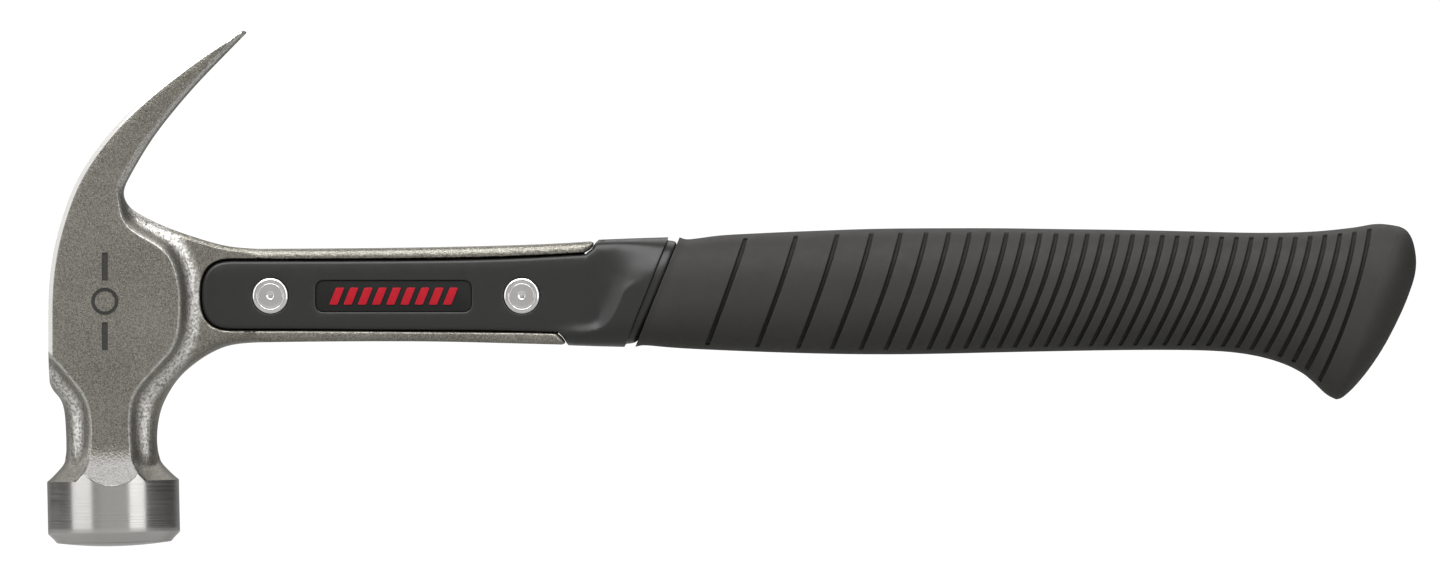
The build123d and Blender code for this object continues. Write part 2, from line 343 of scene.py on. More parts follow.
def cut(body, tools):
    """Take closed tools away from a body and delete them."""
    for tool in tools:
        change = body.modifiers.new("cut", "BOOLEAN")
        change.operation = "DIFFERENCE"
        change.solver = "EXACT"
        change.object = tool
        bpy.context.view_layer.objects.active = body
        bpy.ops.object.modifier_apply(modifier=change.name)
        bpy.data.objects.remove(tool)
    body.data.shade_smooth()
    body.data.set_sharp_from_angle(angle=math.radians(35))


# ------------------------------------------------------------------ steel forging: outlines

RING_HEIGHT = 14.0  # where the turned end is welded to the neck
RING_COUNT = 128
FLARE_START = 16.4  # height where the poll begins to narrow towards the neck
FLARE_END = 21.2  # height where the neck's own outline takes over
FLARE = spline(
    [(FLARE_START, POLL_RADIUS), (17.6, 15.1), (18.9, 13.8), (20.3, 12.55), (21.5, 11.9),
     (23, 11.55), (26, 11.4)],
    0.2,
)  # height and radius

# The outline's sections, clockwise from the neck's left side: spacing, and points after the last one's end
HEAD_CURVES = {
    "shoulder": (0.7, [(-12.1, 23), (-12, 26), (-12.15, 30), (-12.6, 34.3), (-13.7, 37.1),
                       (-15.2, 38.9), (-16, 40.7)]),
    "back": (0.8, [(-16.2, 44), (-16.2, 52), (-16.1, 63), (-14.92, 73.4), (-12.12, 83.9), (-8.21, 92.9),
                   (-0.7, 103.4), (8.47, 112.4), (19.96, 121.4), (29.14, 127.4), (32.4, 128.7)]),
    "tip": (0.2, [(32.75, 128.7), (32.75, 128.35)]),
    "claw": (0.7, [(29.4, 124.9), (21.65, 116.9), (14.65, 108.9), (8.65, 100.9), (3.9, 92.9),
                   (2.35, 89.6), (2.25, 87.4), (3.65, 84.9), (6.4, 82.9), (12.65, 79.9), (21.15, 76.9),
                   (28.5, 75), (36, 74.35)]),
    "top": (1.2, [(60, 74.5), (84, 74.85), (108.9, 75.6), (118.9, 76.2)]),
    "top_end": (0.4, [(119.7, 75.95), (119.8, 75.3), (119.1, 74.3), (117.6, 73.4)]),
    "web_top": (0.8, [(117.6, TANG_MIDDLE + 8.8)]),
    "tang_top": (4, [(282, TANG_MIDDLE + 6)]),
    "tang_end": (1, [(286.3, TANG_MIDDLE + 4.2), (288, TANG_MIDDLE), (286.3, TANG_MIDDLE - 4.2),
                     (282, TANG_MIDDLE - 6)]),
    "tang_low": (4, [(110.9, TANG_MIDDLE - 8.8)]),
    "web_low": (0.8, [(110.9, 53.1)]),
    "low_end": (0.4, [(111.9, 52.3), (112.6, 51.3), (112.7, 50.75), (111.9, 50.4)]),
    "low": (1.2, [(96.4, 50.8), (76.4, 51.2), (46.4, 51.1), (36, 50.95)]),
}
THROAT = [(36, 50.95), (29.4, 50.3), (24.9, 48.7), (20.4, 45.9), (16.1, 42), (13.4, 38), (11.8, 34.5),
          (10.9, 30.5), (10.65, 27), (10.9, 24)]

CHEEK_LEFT = [(-9.5, 14), (-7.5, 18.2), (-6.6, 20.2), (-5.9, 23.5), (-5.65, 27.5), (-5.75, 31.5),
              (-6.25, 34.8), (-7.3, 37.5), (-9.2, 40.3), (-12, 43.7), (-14.6, 46.6), (-18, 49)]
CHEEK_RIGHT = [(60, 135), (31.5, 127.7), (28.8, 124.9), (21, 117.2), (13.9, 109.2), (7.7, 101.2),
               (2.9, 93.4), (1.4, 89.6), (1.5, 86.5), (2.1, 82.9), (4.5, 79.3), (10.7, 75.5), (14.4, 71.8),
               (16.2, 66.2), (16.65, 60.5), (16.3, 54.8), (14.8, 50), (11.3, 45.6), (7.2, 41.1), (5, 37.6),
               (4.15, 33.2), (4.15, 28.6), (4.45, 23.8), (5.1, 20.9), (6.6, 18), (8.6, 14)]
CLAW_END = 31.4  # X beyond which the cheek's edge is outside the claws

WINDOW_CURVES = (
    (1.0, [(50, 71.65), (71, 71.75), (96, 72.15), (119.2, 73.3), (135, 74.2)]),
    (100, [(135, 52)]),
    (1.0, [(112.2, 53.3), (96, 53.65), (71, 53.85), (50, 54), (29.5, 54.05)]),
    (0.5, [(26.2, 54.5), (23.5, 56.2), (22.1, 59), (21.7, 62.85), (22.1, 66.7), (23.5, 69.5), (26.2, 71.2),
           (29.5, 71.65)]),
)


def to_poll(points, angle=POLL_TILT):
    """Plane points in the poll's own, slightly turned axes."""
    c, s = math.cos(angle), math.sin(angle)
    return np.stack([points[:, 0] * c + points[:, 1] * s, points[:, 1] * c - points[:, 0] * s], axis=1)


def from_poll(points):
    """The inverse of to_poll."""
    return to_poll(points, -POLL_TILT)


def flare_radius(height):
    """Radius of the poll and of its flare into the neck."""
    return np.interp(height, FLARE[:, 0], FLARE[:, 1])


def poll_arc(x):
    """Half thickness of the poll's round wall at a distance from its axis."""
    return np.sqrt(np.maximum(POLL_RADIUS**2 - x**2, 0))


def flare_side(side):
    """Outline of the poll and its flare on one side, from the ring up to the neck."""
    wall = np.linspace(RING_HEIGHT, FLARE_START, 5)[:-1]
    heights = np.concatenate([wall, np.linspace(FLARE_START, FLARE_END, 13)])
    return from_poll(np.stack([side * flare_radius(heights), heights], axis=1))


def ring_angles():
    """Angles round the front half of the turned end, from left to right."""
    return np.linspace(-math.pi / 2, math.pi / 2, RING_COUNT // 2 + 1)


def head_outline():
    """Side outline of the forging, clockwise from the ring's left end, and each vertex's section."""
    lines = {"left": flare_side(-1)}
    lines.update(zip(HEAD_CURVES, path(lines["left"][-1], HEAD_CURVES.values())))
    right = flare_side(1)[::-1]
    lines["throat"] = spline([*THROAT, right[0]], 0.7)
    lines["right"] = right
    across = POLL_RADIUS * np.sin(ring_angles())
    lines["ring"] = from_poll(np.stack([across, np.full(len(across), RING_HEIGHT)], axis=1))[::-1]
    names = np.concatenate([np.full(len(line) - 1, name) for name, line in lines.items()])
    return chain(*lines.values()), names


def cheek_loop():
    """Edge of the full-thickness zone, closed outside the body, and the two stretches that show."""
    left, right = spline(CHEEK_LEFT, 0.5), spline(CHEEK_RIGHT, 0.5)
    outside = np.array([CHEEK_LEFT[-1], (-40, 60), (-40, 150), (60, 150), CHEEK_RIGHT[0]])
    below = np.array([CHEEK_RIGHT[-1], (8.6, 5.0), (-9.5, 5.0), CHEEK_LEFT[0]])
    return chain(left, outside, right, below), (left, right[right[:, 0] < CLAW_END])


def window_loop():
    """Window between the shank's rails, open towards the handle."""
    return chain(*path((29.5, 71.65), WINDOW_CURVES))


# ------------------------------------------------------------------ steel forging: surface

FACET_SLOPE = 0.486
FACET_FOOT = 15.1  # height where the facet meets the poll's front
WALL_SLOPE = math.radians(66)
COVE = 5.4  # radius of the hollow at a cheek's foot
CREST = 0.45  # width of the rounding along a cheek's edge
LIP = 0.55  # width of the rounding along the window's edge
LIP_DEPTH = 0.42
NECK_SIDES = (-11.95, 10.85)  # X of the neck's sides where they run into the flare
NECK_TOP = 25.0  # height below which those sides count
STEEL_END = (110.9, 53.1)  # lower end of the web's edge inside the handle
STEEL_LEAN = 0.33  # how far that edge leans, as X for each Z
TANG_HALF = 9.0  # half height of the zone that is tang

# Rounding along the outline, by section: width, depth, and 1 for a quarter circle or 0 for a bevel
EDGES = {
    "back": (1.15, 0.62, 0.12),
    "tip": (0.4, 0.6, 0.3),
    "claw": (1.1, 1.0, 0.25),
    "top": (2.5, 1.9, 1),
    "top_end": (1.4, 1.6, 1),
    "low_end": (1.4, 1.6, 1),
    "low": (1.8, 1.6, 1),
    "left": (2.6, 6.5, 1),
    "shoulder": (2.6, 6.5, 1),
    "throat": (2.6, 6.0, 1),
    "right": (2.6, 6.5, 1),
}
PLAIN_EDGE = (0.4, 0.4, 1)


def edge_values(names):
    """Width, depth and roundness of the edge at each vertex of the outline, blurred along it."""
    values = np.array([EDGES.get(name, PLAIN_EDGE) for name in names], float)
    for _ in range(5):
        values = (np.roll(values, 1, axis=0) + values * 2 + np.roll(values, -1, axis=0)) / 4
    return values


def cheek_drop(away, fall):
    """How far the surface lies below a cheek, by distance outside its edge: a steep wall, then a hollow."""
    slope = math.tan(WALL_SLOPE)
    rise = COVE * (1 - math.cos(WALL_SLOPE))
    straight = np.maximum(fall - rise, 0) / slope
    foot = straight + COVE * math.sin(WALL_SLOPE)
    left = np.clip(foot - away, 0, COVE)
    drop = np.where(away < straight, away * slope, fall - COVE * quarter(left / COVE))
    drop = np.where(away > foot, fall, drop)
    crest = (away + CREST) ** 2 / CREST * slope / 4
    return np.where(away <= -CREST, 0, np.where(away < CREST, crest, drop))


def face_level(points):
    """Height of the cheek's flat, which rises to the poll's rim as a sloping facet."""
    facet = POLL_RADIUS - FACET_SLOPE * (points[:, 1] - FACET_FOOT)
    return smooth_max(np.full(len(points), CHEEK), facet, 1.3)


def facet_line():
    """Curve where the sloping facet meets the poll."""
    x = np.linspace(-9, 9, 46)
    return from_poll(np.stack([x, FACET_FOOT + (POLL_RADIUS - poll_arc(x)) / FACET_SLOPE], axis=1))


def rounded_edge(points, height, loop, names):
    """The given height, less the rounding along the outline."""
    gap, place = nearest(points, loop)
    i = place.astype(int)
    share = (place - i)[:, None]
    values = edge_values(names)
    width, depth, _ = (values[i] * (1 - share) + values[(i + 1) % len(loop)] * share).T
    roundness = values[i, 2]
    neck_gap = np.minimum(points[:, 0] - NECK_SIDES[0], NECK_SIDES[1] - points[:, 0])
    above = smooth_step(points[:, 1], NECK_TOP - 2, NECK_TOP)
    gap = neck_gap * (1 - above) + gap * above
    bite = np.clip(1 - gap / width, 0, 1)
    drop = roundness * quarter(bite) + (1 - roundness) * bite
    return np.where(gap < 0, 0, height - np.minimum(depth, height) * drop)


def with_poll(points, height, in_cheek):
    """The given height, joined to the round poll and its flare."""
    own = to_poll(points)
    flare = np.sqrt(np.maximum(flare_radius(own[:, 1]) ** 2 - own[:, 0] ** 2, 0))
    flare -= 3.0 * smooth_step(own[:, 1], 18.5, 23.8)
    blended = smooth_max(height, flare, 1.2 * smooth_step(own[:, 1], 16.0, 18.5) + 0.01)
    capped = np.minimum(np.where(in_cheek < 0, blended, height), poll_arc(own[:, 0]))
    return np.where(own[:, 1] < 24, capped, height)


def forging_height(points, loop, names, cheek, window):
    """Half thickness of the forging at each point."""
    in_cheek = depth_in(points, cheek)
    level = face_level(points)
    height = level - cheek_drop(-in_cheek, level - SHANK)
    height = with_poll(points, rounded_edge(points, height, loop, names), in_cheek)
    in_window = depth_in(points, window)
    height -= LIP_DEPTH * quarter(np.clip(in_window / LIP + 1.4, 0, 1))
    in_web = smooth_step(in_window, -0.25, 0.15)
    height = height * (1 - in_web) + WEB * in_web
    past_end = points[:, 0] > STEEL_END[0] + (points[:, 1] - STEEL_END[1]) * STEEL_LEAN
    in_tang = past_end & (np.abs(points[:, 1] - TANG_MIDDLE) < TANG_HALF)
    return np.where(in_tang, WEB, np.maximum(height, 0))


def head_warp(points):
    """Spreads the round end's sides out flat, so that its triangles are even."""
    own = to_poll(points)
    radius = np.maximum(flare_radius(own[:, 1]), np.abs(own[:, 0]))
    spread = radius * np.arcsin(np.clip(own[:, 0] / radius, -1, 1))
    share = 1 - smooth_step(own[:, 1], 19, 26)
    return np.stack([own[:, 0] + (spread - own[:, 0]) * share, own[:, 1]], axis=1)


def poll_profile():
    """Turned end as (radius, height): crowned face, its corner, chamfer and wall."""
    chamfer, crown = 2.2, 1.0
    rim = POLL_RADIUS - chamfer
    reach = (rim**2 + crown**2) / (2 * crown)
    face = [(r, reach - math.sqrt(reach**2 - r**2)) for r in np.linspace(0, rim - 0.25, 10)]
    corner = [(rim - 0.05, crown + 0.02), (rim + 0.12, crown + 0.14)]
    slope = [(rim + t * 2.0, crown + 0.14 + t * 2.0) for t in (0.33, 0.66, 0.94)]
    shoulder = [(POLL_RADIUS - 0.03, 3.35), (POLL_RADIUS, 3.6)]
    wall = [(POLL_RADIUS, z) for z in (5, 7, 9, 11, 12.5, RING_HEIGHT)]
    return face + corner + slope + shoulder + wall


def poll_body():
    """Vertices and faces of the turned end, as rings about its own axis."""
    turn = np.linspace(0, 2 * math.pi, RING_COUNT, endpoint=False)
    rings = []
    for radius, height in poll_profile():
        flat = from_poll(np.stack([radius * np.sin(turn), np.full(RING_COUNT, float(height))], axis=1))
        rings.append(stand(flat, -radius * np.cos(turn)))
    return loft(rings, False, False)


def forging_cloud(loop, names, cheek_lines, window):
    """Plane points of the forging's side, dense along its edges."""
    cloud = Cloud(loop)
    sweep = ring_angles()[1:-1]
    for z in (14.7, 15.4, 16.0, 16.35, 16.7, 17.2, 17.8, 18.5, 19.3, 20.2, 21.2, 22.2, 23.2):
        row = np.stack([flare_radius(z) * np.sin(sweep), np.full(len(sweep), z)], axis=1)
        cloud.add(from_poll(row), 0.02, 0.004)
    cloud.add_offsets(facet_line(), (0.0, -0.22, 0.22), 0.1, closed=False)
    for line in cheek_lines:
        cloud.add_offsets(line, (-0.5, -0.25, 0.0, 0.25, 0.5), 0.13, closed=False)
    for line in cheek_lines:
        cloud.add_offsets(line, (0.8, 1.3, 1.9, 2.6, 3.4, 4.2, 5.0, 5.7), 0.33, closed=False)
        cloud.add_offsets(line, (-0.8, -1.3), 0.4, closed=False)
    inward = -normals(loop, True) * edge_values(names)[:, :1]
    above_flare = to_poll(loop)[:, 1] > 21.4
    for angle in np.radians((20, 38, 55, 72, 90)):
        cloud.add((loop + inward * (1 - math.cos(angle)))[above_flare], 0.09, 0.03)
    cloud.add_offsets(window, (-0.75, -0.5, -0.28, -0.05, 0.18, 0.38, 0.58, 0.8), 0.1)
    cloud.add_grid(1.7, 0.75)
    return cloud


def forging(loop, names):
    """The steel forging as one closed mesh, before its cuts."""
    cheek, cheek_lines = cheek_loop()
    window = window_loop()
    cloud = forging_cloud(loop, names, cheek_lines, window)
    heights = forging_height(cloud.points, loop, names, cheek, window)
    edge = to_poll(loop)
    on_round = np.flatnonzero(edge[:, 1] < 21.0)
    heights[on_round] = np.where(names == "ring", poll_arc(edge[:, 0]), 0)[on_round]
    faces = cloud.triangles(head_warp)
    count = len(cloud.points)
    faces += [face[::-1] for face in shifted(faces, count)]
    for i in np.flatnonzero(names != "ring").tolist():
        j = (i + 1) % len(loop)
        faces.append((i, j, count + j, count + i))
    sides = np.concatenate([stand(cloud.points, -heights), stand(cloud.points, heights)])
    return join_parts("forged_head", [(sides, faces), poll_body()], 35)


# ------------------------------------------------------------------ steel forging: cuts

SLOT_LENGTH = 38.0
SLOT_ROOT = 1.0  # half widths
SLOT_TIP = 4.4
SLOT_FLARE = 1.5  # how much wider the slot is on the claws' inner side, for a nail's head
CLAW_TIP = np.array([32.8, 128.6])
CLAW_ALONG = np.array([0.697, 0.717])
HOLE_RADIUS = 3.02

STAMP_DEPTH = 0.28
STAMP_X = -2.1
STAMP_RING = 61.2  # height of the stamped ring's middle
STAMP_RADII = (3.4, 2.5)
DASHES = (52.5, 69.9)  # heights of the dashes' middles
DASH_WIDTH = 1.5
DASH_LENGTH = 7.0


def slot_cutter(inner_line):
    """Tapered slot between the claws, with flared edges on their inner side."""
    root = CLAW_TIP - CLAW_ALONG * SLOT_LENGTH
    across = np.array([-CLAW_ALONG[1], CLAW_ALONG[0]])
    growth = (SLOT_TIP - SLOT_ROOT) / SLOT_LENGTH
    side = [(u, SLOT_ROOT + growth * u) for u in np.linspace(0, SLOT_LENGTH + 6, 28)]
    bend = [(-SLOT_ROOT * math.sin(a), SLOT_ROOT * math.cos(a)) for a in np.linspace(0, math.pi, 13)[1:-1]]
    shape = np.array(side[::-1] + bend + [(u, -y) for u, y in side])
    outward = -normals(shape, False)
    local = (inner_line - root) @ np.stack([CLAW_ALONG, across], axis=1)
    local = local[np.argsort(local[:, 0])]
    inner = np.interp(shape[:, 0], local[:, 0], local[:, 1])
    behind = np.full(len(shape), 30.0)
    layers = []
    flared = ((inner - 0.6, SLOT_FLARE), (inner - 14, SLOT_FLARE))
    for height, spread in ((behind, 0), (inner + 1.4, 0), *flared):
        flat = shape + outward * spread
        layers.append(stand(root + flat[:, :1] * CLAW_ALONG + height[:, None] * across, flat[:, 1]))
    return new_object("slot_cutter", *loft(layers))


def hole_cutter(x):
    """Cylinder across the web for one rivet."""
    ring = circle((x, RIVET_HEIGHT), HOLE_RADIUS, 48)
    return new_object("hole_cutter", *loft([stand(ring, -6), stand(ring, 6)]))


def stamp_cutters():
    """A ring between two dashes, pressed into the left cheek."""
    outside, floor = -CHEEK - 1, -CHEEK + STAMP_DEPTH
    corners = np.array([(-1, -1), (1, -1), (1, 1), (-1, 1)]) * (DASH_WIDTH / 2, DASH_LENGTH / 2)
    dashes = [corners + (STAMP_X, z) for z in DASHES]
    shapes = [loft([stand(dash, outside), stand(dash, floor)]) for dash in dashes]
    outer, inner = (circle((STAMP_X, STAMP_RING), radius, 64) for radius in STAMP_RADII)
    rims = ((outer, outside), (outer, floor), (inner, floor), (inner, outside), (outer, outside))
    shapes.append(loft([stand(*rim) for rim in rims], False, False))
    return [new_object("stamp_cutter", *shape) for shape in shapes]


outline, sections = head_outline()
head = forging(outline, sections)
holes = [hole_cutter(x) for x in RIVET_PLACES]
cut(head, [slot_cutter(outline[sections == "claw"]), *holes, *stamp_cutters()])

# ------------------------------------------------------------------ handle: side outlines

SLANT = 0.40  # how far the handle's cross sections lean, as X for each Z
GRIP_START = 141.3  # X of the grip's front edge, at its top
GRIP_END = 321.0  # X where its top runs into the butt

GRIP_TOP = spline(
    [(GRIP_START, 77.25), (142.4, 76.85), (143.6, 76.75), (147.4, 77.2), (151.4, 77.7), (158, 78.1),
     (166.4, 78.5), (176.4, 78.9), (190, 79.35), (206.4, 79.5), (221.4, 79.5), (236.4, 79.3), (251.4, 79.1),
     (270, 78.7), (283, 78.4), (294, 78.45), (301.4, 78.8), (307, 79.35), (311.4, 79.95), (315.8, 80.6),
     (GRIP_END, 80)],
    0.5,
)
GRIP_LOW = spline(
    [(130.2, 49.8), (131.3, 50.1), (132.6, 50.2), (136.4, 49.9), (141.4, 49.5), (151.4, 49), (161.4, 48.6),
     (176, 48.15), (191.4, 47.95), (206, 48.1), (221.4, 48.45), (236, 48.75), (251.4, 49), (263, 49.05),
     (274, 48.85), (283, 48), (291.4, 45.9), (298.4, 42.2), (302.8, 38.1), (305.4, 36.7)],
    0.5,
)
COLLAR_TOP = np.array([(100, 76.2), (121.2, 76.65), (130, 77), (138.3, 77.25), (330, 77.25)])
COLLAR_LOW = np.array([(100, 50.4), (113.6, 50.2), (120, 49.98), (127.3, 49.8), (330, 49.8)])
COLLAR = (COLLAR_TOP, COLLAR_LOW)
HANDLE = (GRIP_TOP, GRIP_LOW)

# Half width, and how full the cross section is (2 is an ellipse), by slanted station
HALF_WIDTHS = np.array([(112, 9.2), (119, 9.6), (126, 10), (133, 10.7), (136, 11.4), (140, 11.9),
                        (152, 12.5), (176, 13), (204, 13.2), (235, 12.9), (264, 12.6), (286, 12.8),
                        (299, 13.5), (308, 14.2), (313, 14.3)])
FULLNESS = np.array([(112, 4.6), (122, 3.4), (133, 2.6), (150, 2.35), (330, 2.3)])


def slanted(points):
    """Where the slanted cross section through a point meets the handle's middle line."""
    return points[:, 0] - (points[:, 1] - 63.4) * SLANT


def table(values, at):
    """Piecewise linear table of (place, value)."""
    return np.interp(at, values[:, 0], values[:, 1])


def oval(points, inset, sides):
    """Half thickness of the handle's oval body at plane points, made smaller all round by inset."""
    station = slanted(points)
    high = table(sides[0], points[:, 0]) - inset
    low = table(sides[1], points[:, 0]) + inset
    half = table(HALF_WIDTHS, station) - inset
    full = table(FULLNESS, station)
    share = np.clip(np.abs(2 * points[:, 1] - high - low) / (high - low), 0, 1)
    return half * (1 - share**full) ** (1 / full)


# ------------------------------------------------------------------ plastic core: outlines

TONGUE = 7.7  # half thickness over the tongues' flats
FIT = 0.22  # gap between a tongue and the steel round it
COLLAR_FRONT = 120.0  # slanted station where the tongue's mesh hands over to the collar's rings
COLLAR_REAR = 132.9  # the next two are slanted stations as well
GRIP_FRONT = 135.7
NECK_PROFILE = ((132.9, 0.5), (133.15, 0.78), (134.2, 0.88), (134.9, 1.05), (135.4, 1.4), (135.68, 1.9))
GRIP_WALL = 3.0
CORE_INSET = GRIP_WALL + 0.03
CORE_END = 296.0
HALF_RING = 72  # steps from the top of a half ring to its bottom

STEEL_CURVES = (
    (0.3, [(113.1, 50.75), (112.76, 51.35), (112.03, 52.4), (111, 53.15 + FIT)]),
    (0.9, [(96, 53.65 + FIT), (71, 53.85 + FIT), (50, 54 + FIT), (29.5, 54.05 + FIT)]),
    (0.45, [(26.3, 54.5 + FIT), (23.7, 56.4), (22.1 + FIT, 59.1), (21.7 + FIT, 62.85), (22.1 + FIT, 66.6),
            (23.7, 69.3), (26.3, 71.2 - FIT), (29.5, 71.65 - FIT)]),
    (0.9, [(50, 71.65 - FIT), (71, 71.75 - FIT), (96, 72.15 - FIT), (117.9, 73.3 - FIT)]),
    (0.3, [(118.6, 73.72), (119.24, 74.22), (119.92, 75.25), (120.4, 75.95), (121.2, 76.65)]),
)
STEEL_LINES = path((113.6, 50.2), STEEL_CURVES)
STEEL_EDGE = np.concatenate([chain(*STEEL_LINES), STEEL_LINES[-1][-1:]])
RECESS = spline([(96, 53), (106, 53), (115.3, 53.4), (120, 54.1), (122.5, 55.5), (124.5, 58), (126.3, 61.8),
                 (127.5, 64.6), (129.4, 67.4), (133, 71.2), (137, 75.4), (141, 80)], 0.4)
RECESS_AREA = np.concatenate([RECESS, [(0, 80), (0, 50), (96, 50)]])


def half_ring(station, inset):
    """Plane points on a slanted line, from the handle's top to its bottom."""
    top, low = COLLAR if station < GRIP_FRONT else HANDLE
    share = np.cos(np.linspace(0, math.pi, HALF_RING + 1))
    x = np.full(HALF_RING + 1, float(station))
    for _ in range(8):
        high, bottom = table(top, x) - inset, table(low, x) + inset
        z = (high + bottom) / 2 + share * (high - bottom) / 2
        x = station + (z - TANG_MIDDLE) * SLANT
    return np.stack([x, z], axis=1)


def core_outline():
    """Side outline of the tongue, closed by the half ring where the collar's rings begin."""
    ring = half_ring(COLLAR_FRONT, 0)
    top = even(np.array([STEEL_EDGE[-1], ring[0]]), 0.8)
    low = even(np.array([ring[-1], STEEL_EDGE[0]]), 0.4)
    return chain(STEEL_EDGE, top, ring, low)


def rounded_box(middle, size, corner):
    """Rounded rectangle as a closed loop."""
    points = []
    for sx, sz, start in ((1, 1, 0), (-1, 1, 90), (-1, -1, 180), (1, -1, 270)):
        x = middle[0] + sx * (size[0] / 2 - corner)
        z = middle[1] + sz * (size[1] / 2 - corner)
        for angle in np.radians(np.linspace(start, start + 90, 7)):
            points.append((x + corner * math.cos(angle), z + corner * math.sin(angle)))
    points.append(points[0])
    return even(np.array(points), 0.4)[:-1]


PLATE_MIDDLE = np.array([PLATE[0].x + PLATE[1].x, PLATE[0].z + PLATE[1].z]) / 2
PLATE_SIZE = np.array([PLATE[1].x - PLATE[0].x, PLATE[1].z - PLATE[0].z])
POCKET = rounded_box(PLATE_MIDDLE, PLATE_SIZE + 0.2, 1.9)
POCKET_FLOOR = -PLATE[1].y
SEATS = [circle((x, RIVET_HEIGHT), RIVET_RADIUS + 0.12) for x in RIVET_PLACES]

# ------------------------------------------------------------------ plastic core: surface


def collar_height(points):
    """Half thickness of the collar: a flat tongue that runs out into an oval behind a curved, soft edge."""
    body = oval(points, 0, COLLAR)
    gap, place = nearest(points, RECESS, closed=False)
    signed = np.where(inside(points, RECESS_AREA), -gap, gap)
    height = RECESS[np.clip(place.astype(int), 0, len(RECESS) - 1), 1]  # of the nearest place on the edge
    dish = 3.0 + 6.0 * smooth_step(height, 54, 62)
    beyond = 0.35 + 4.0 * smooth_step(height, 63, 72)
    rise = np.clip((signed + dish) / (dish + beyond), 0, 1)
    steep = smooth_step(-height, -70, -63)
    share = smooth_step(rise, 0, 1) * (1 - steep) + rise**2 * steep
    round_off = 1.0 + 1.4 * smooth_step(points[:, 0], 108, 120)
    tongue = -smooth_max(-body, np.full(len(points), -TONGUE), round_off)
    return tongue * (1 - share) + body * share


def core_height(points):
    """Half thickness of the tongue at each point."""
    far = points[:, 0] > 104
    height = np.full(len(points), TONGUE)
    blend = smooth_step(points[far][:, 0], 104, 112)
    height[far] = TONGUE * (1 - blend) + collar_height(points[far]) * blend
    edge, _ = nearest(points, STEEL_EDGE, closed=False)
    height -= 0.9 * quarter(np.clip(1 - edge / 0.9, 0, 1)) + 0.45 * np.clip(1 - edge / 4.5, 0, 1) ** 2
    hollows = [(POCKET, TONGUE - POCKET_FLOOR + 0.55, 0.22)] + [(seat, 1.2, 0.15) for seat in SEATS]
    for loop, depth, lip in hollows:
        within = depth_in(points, loop)
        height -= depth * smooth_step(within, -0.04, 0.04)
        height -= lip * np.clip(1 + within / 0.4, 0, 1) ** 2 * (within <= 0)
    return height


def core_cloud():
    """Plane points and triangles of a tongue."""
    cloud = Cloud(core_outline())
    for shape in [POCKET] + SEATS:
        cloud.add_offsets(shape, (-0.3, -0.14, -0.04, 0.04), 0.03)
    sides = normals(STEEL_EDGE, False)
    for step in (0.04, 0.14, 0.32, 0.58, 0.9):
        for sign in (-1, 1):
            cloud.add(STEEL_EDGE + sides * step * sign, 0.035, 0.02)
    xs, zs = np.arange(104, 127, 0.55), np.arange(50.0, 77.2, 0.55)
    cloud.add(np.array([(x + 0.13 * (z % 1.1 > 0.5), z) for x in xs for z in zs]), 0.32, 0.16)
    cloud.add_grid(1.8, 0.8)
    return cloud.points, cloud.triangles()


def core_rows():
    """Slanted half rings of the collar, the neck and the part inside the grip: (points, heights)."""
    rows = []
    last = COLLAR_REAR - np.array([0.3, 0.15, 0.05, 0.0])
    for station in np.concatenate([np.arange(COLLAR_FRONT, COLLAR_REAR - 0.4, 0.34), last]):
        points = half_ring(station, 0)
        rounding = 0.2 * max(0, 1 - (COLLAR_REAR - station) / 0.3) ** 2
        rows.append((points, collar_height(points) * (1 - rounding / TONGUE)))
    for station, inset in NECK_PROFILE:
        points = half_ring(station + 0.002, inset)
        rows.append((points, oval(points, inset, COLLAR)))
    for station in np.concatenate([[GRIP_FRONT + 0.02], np.arange(140, CORE_END + 1, 6.0)]):
        points = half_ring(station, CORE_INSET)
        rows.append((points, oval(points, CORE_INSET, HANDLE)))
    return rows


def core_half(name, side, points, faces, rows):
    """One closed half of the core: side is -1 for the left, 1 for the right."""
    ring = HALF_RING + 1
    plane = np.concatenate([points] + [row[0] for row in rows])
    heights = np.concatenate([core_height(points)] + [row[1] for row in rows])
    over_web = inside(plane, outline) | (plane[:, 0] < STEEL_END[0])
    floors = np.where(over_web, WEB + 0.04, 0.02)
    heights = np.maximum(heights, floors + 0.02)
    first = len(points)
    edge = len(core_outline())
    shared = [np.linalg.norm(points[:edge] - p, axis=1).argmin() for p in rows[0][0]]
    heights[first : first + ring] = heights[shared]
    floors[first : first + ring] = floors[shared]
    total = len(plane)
    surface = faces + quads(len(rows), ring, first, closed=False)
    every = surface + [face[::-1] for face in shifted(surface, total)]
    for i in range(edge):
        j = (i + 1) % edge
        if not (i in shared and j in shared):
            every.append((i, j, total + j, total + i))
    for a in range(first, total - ring, ring):
        for k in (a, a + HALF_RING):
            every.append((k, k + ring, total + k + ring, total + k))
    for k in range(total - ring, total - 1):
        every.append((k, k + 1, total + k + 1, total + k))
    vertices = np.concatenate([stand(plane, side * heights), stand(plane, side * floors)])
    return new_object(name, vertices, every, 32)


core = (*core_cloud(), core_rows())
left_core = core_half("left_core", -1, *core)
right_core = core_half("right_core", 1, *core)

# ------------------------------------------------------------------ rubber grip

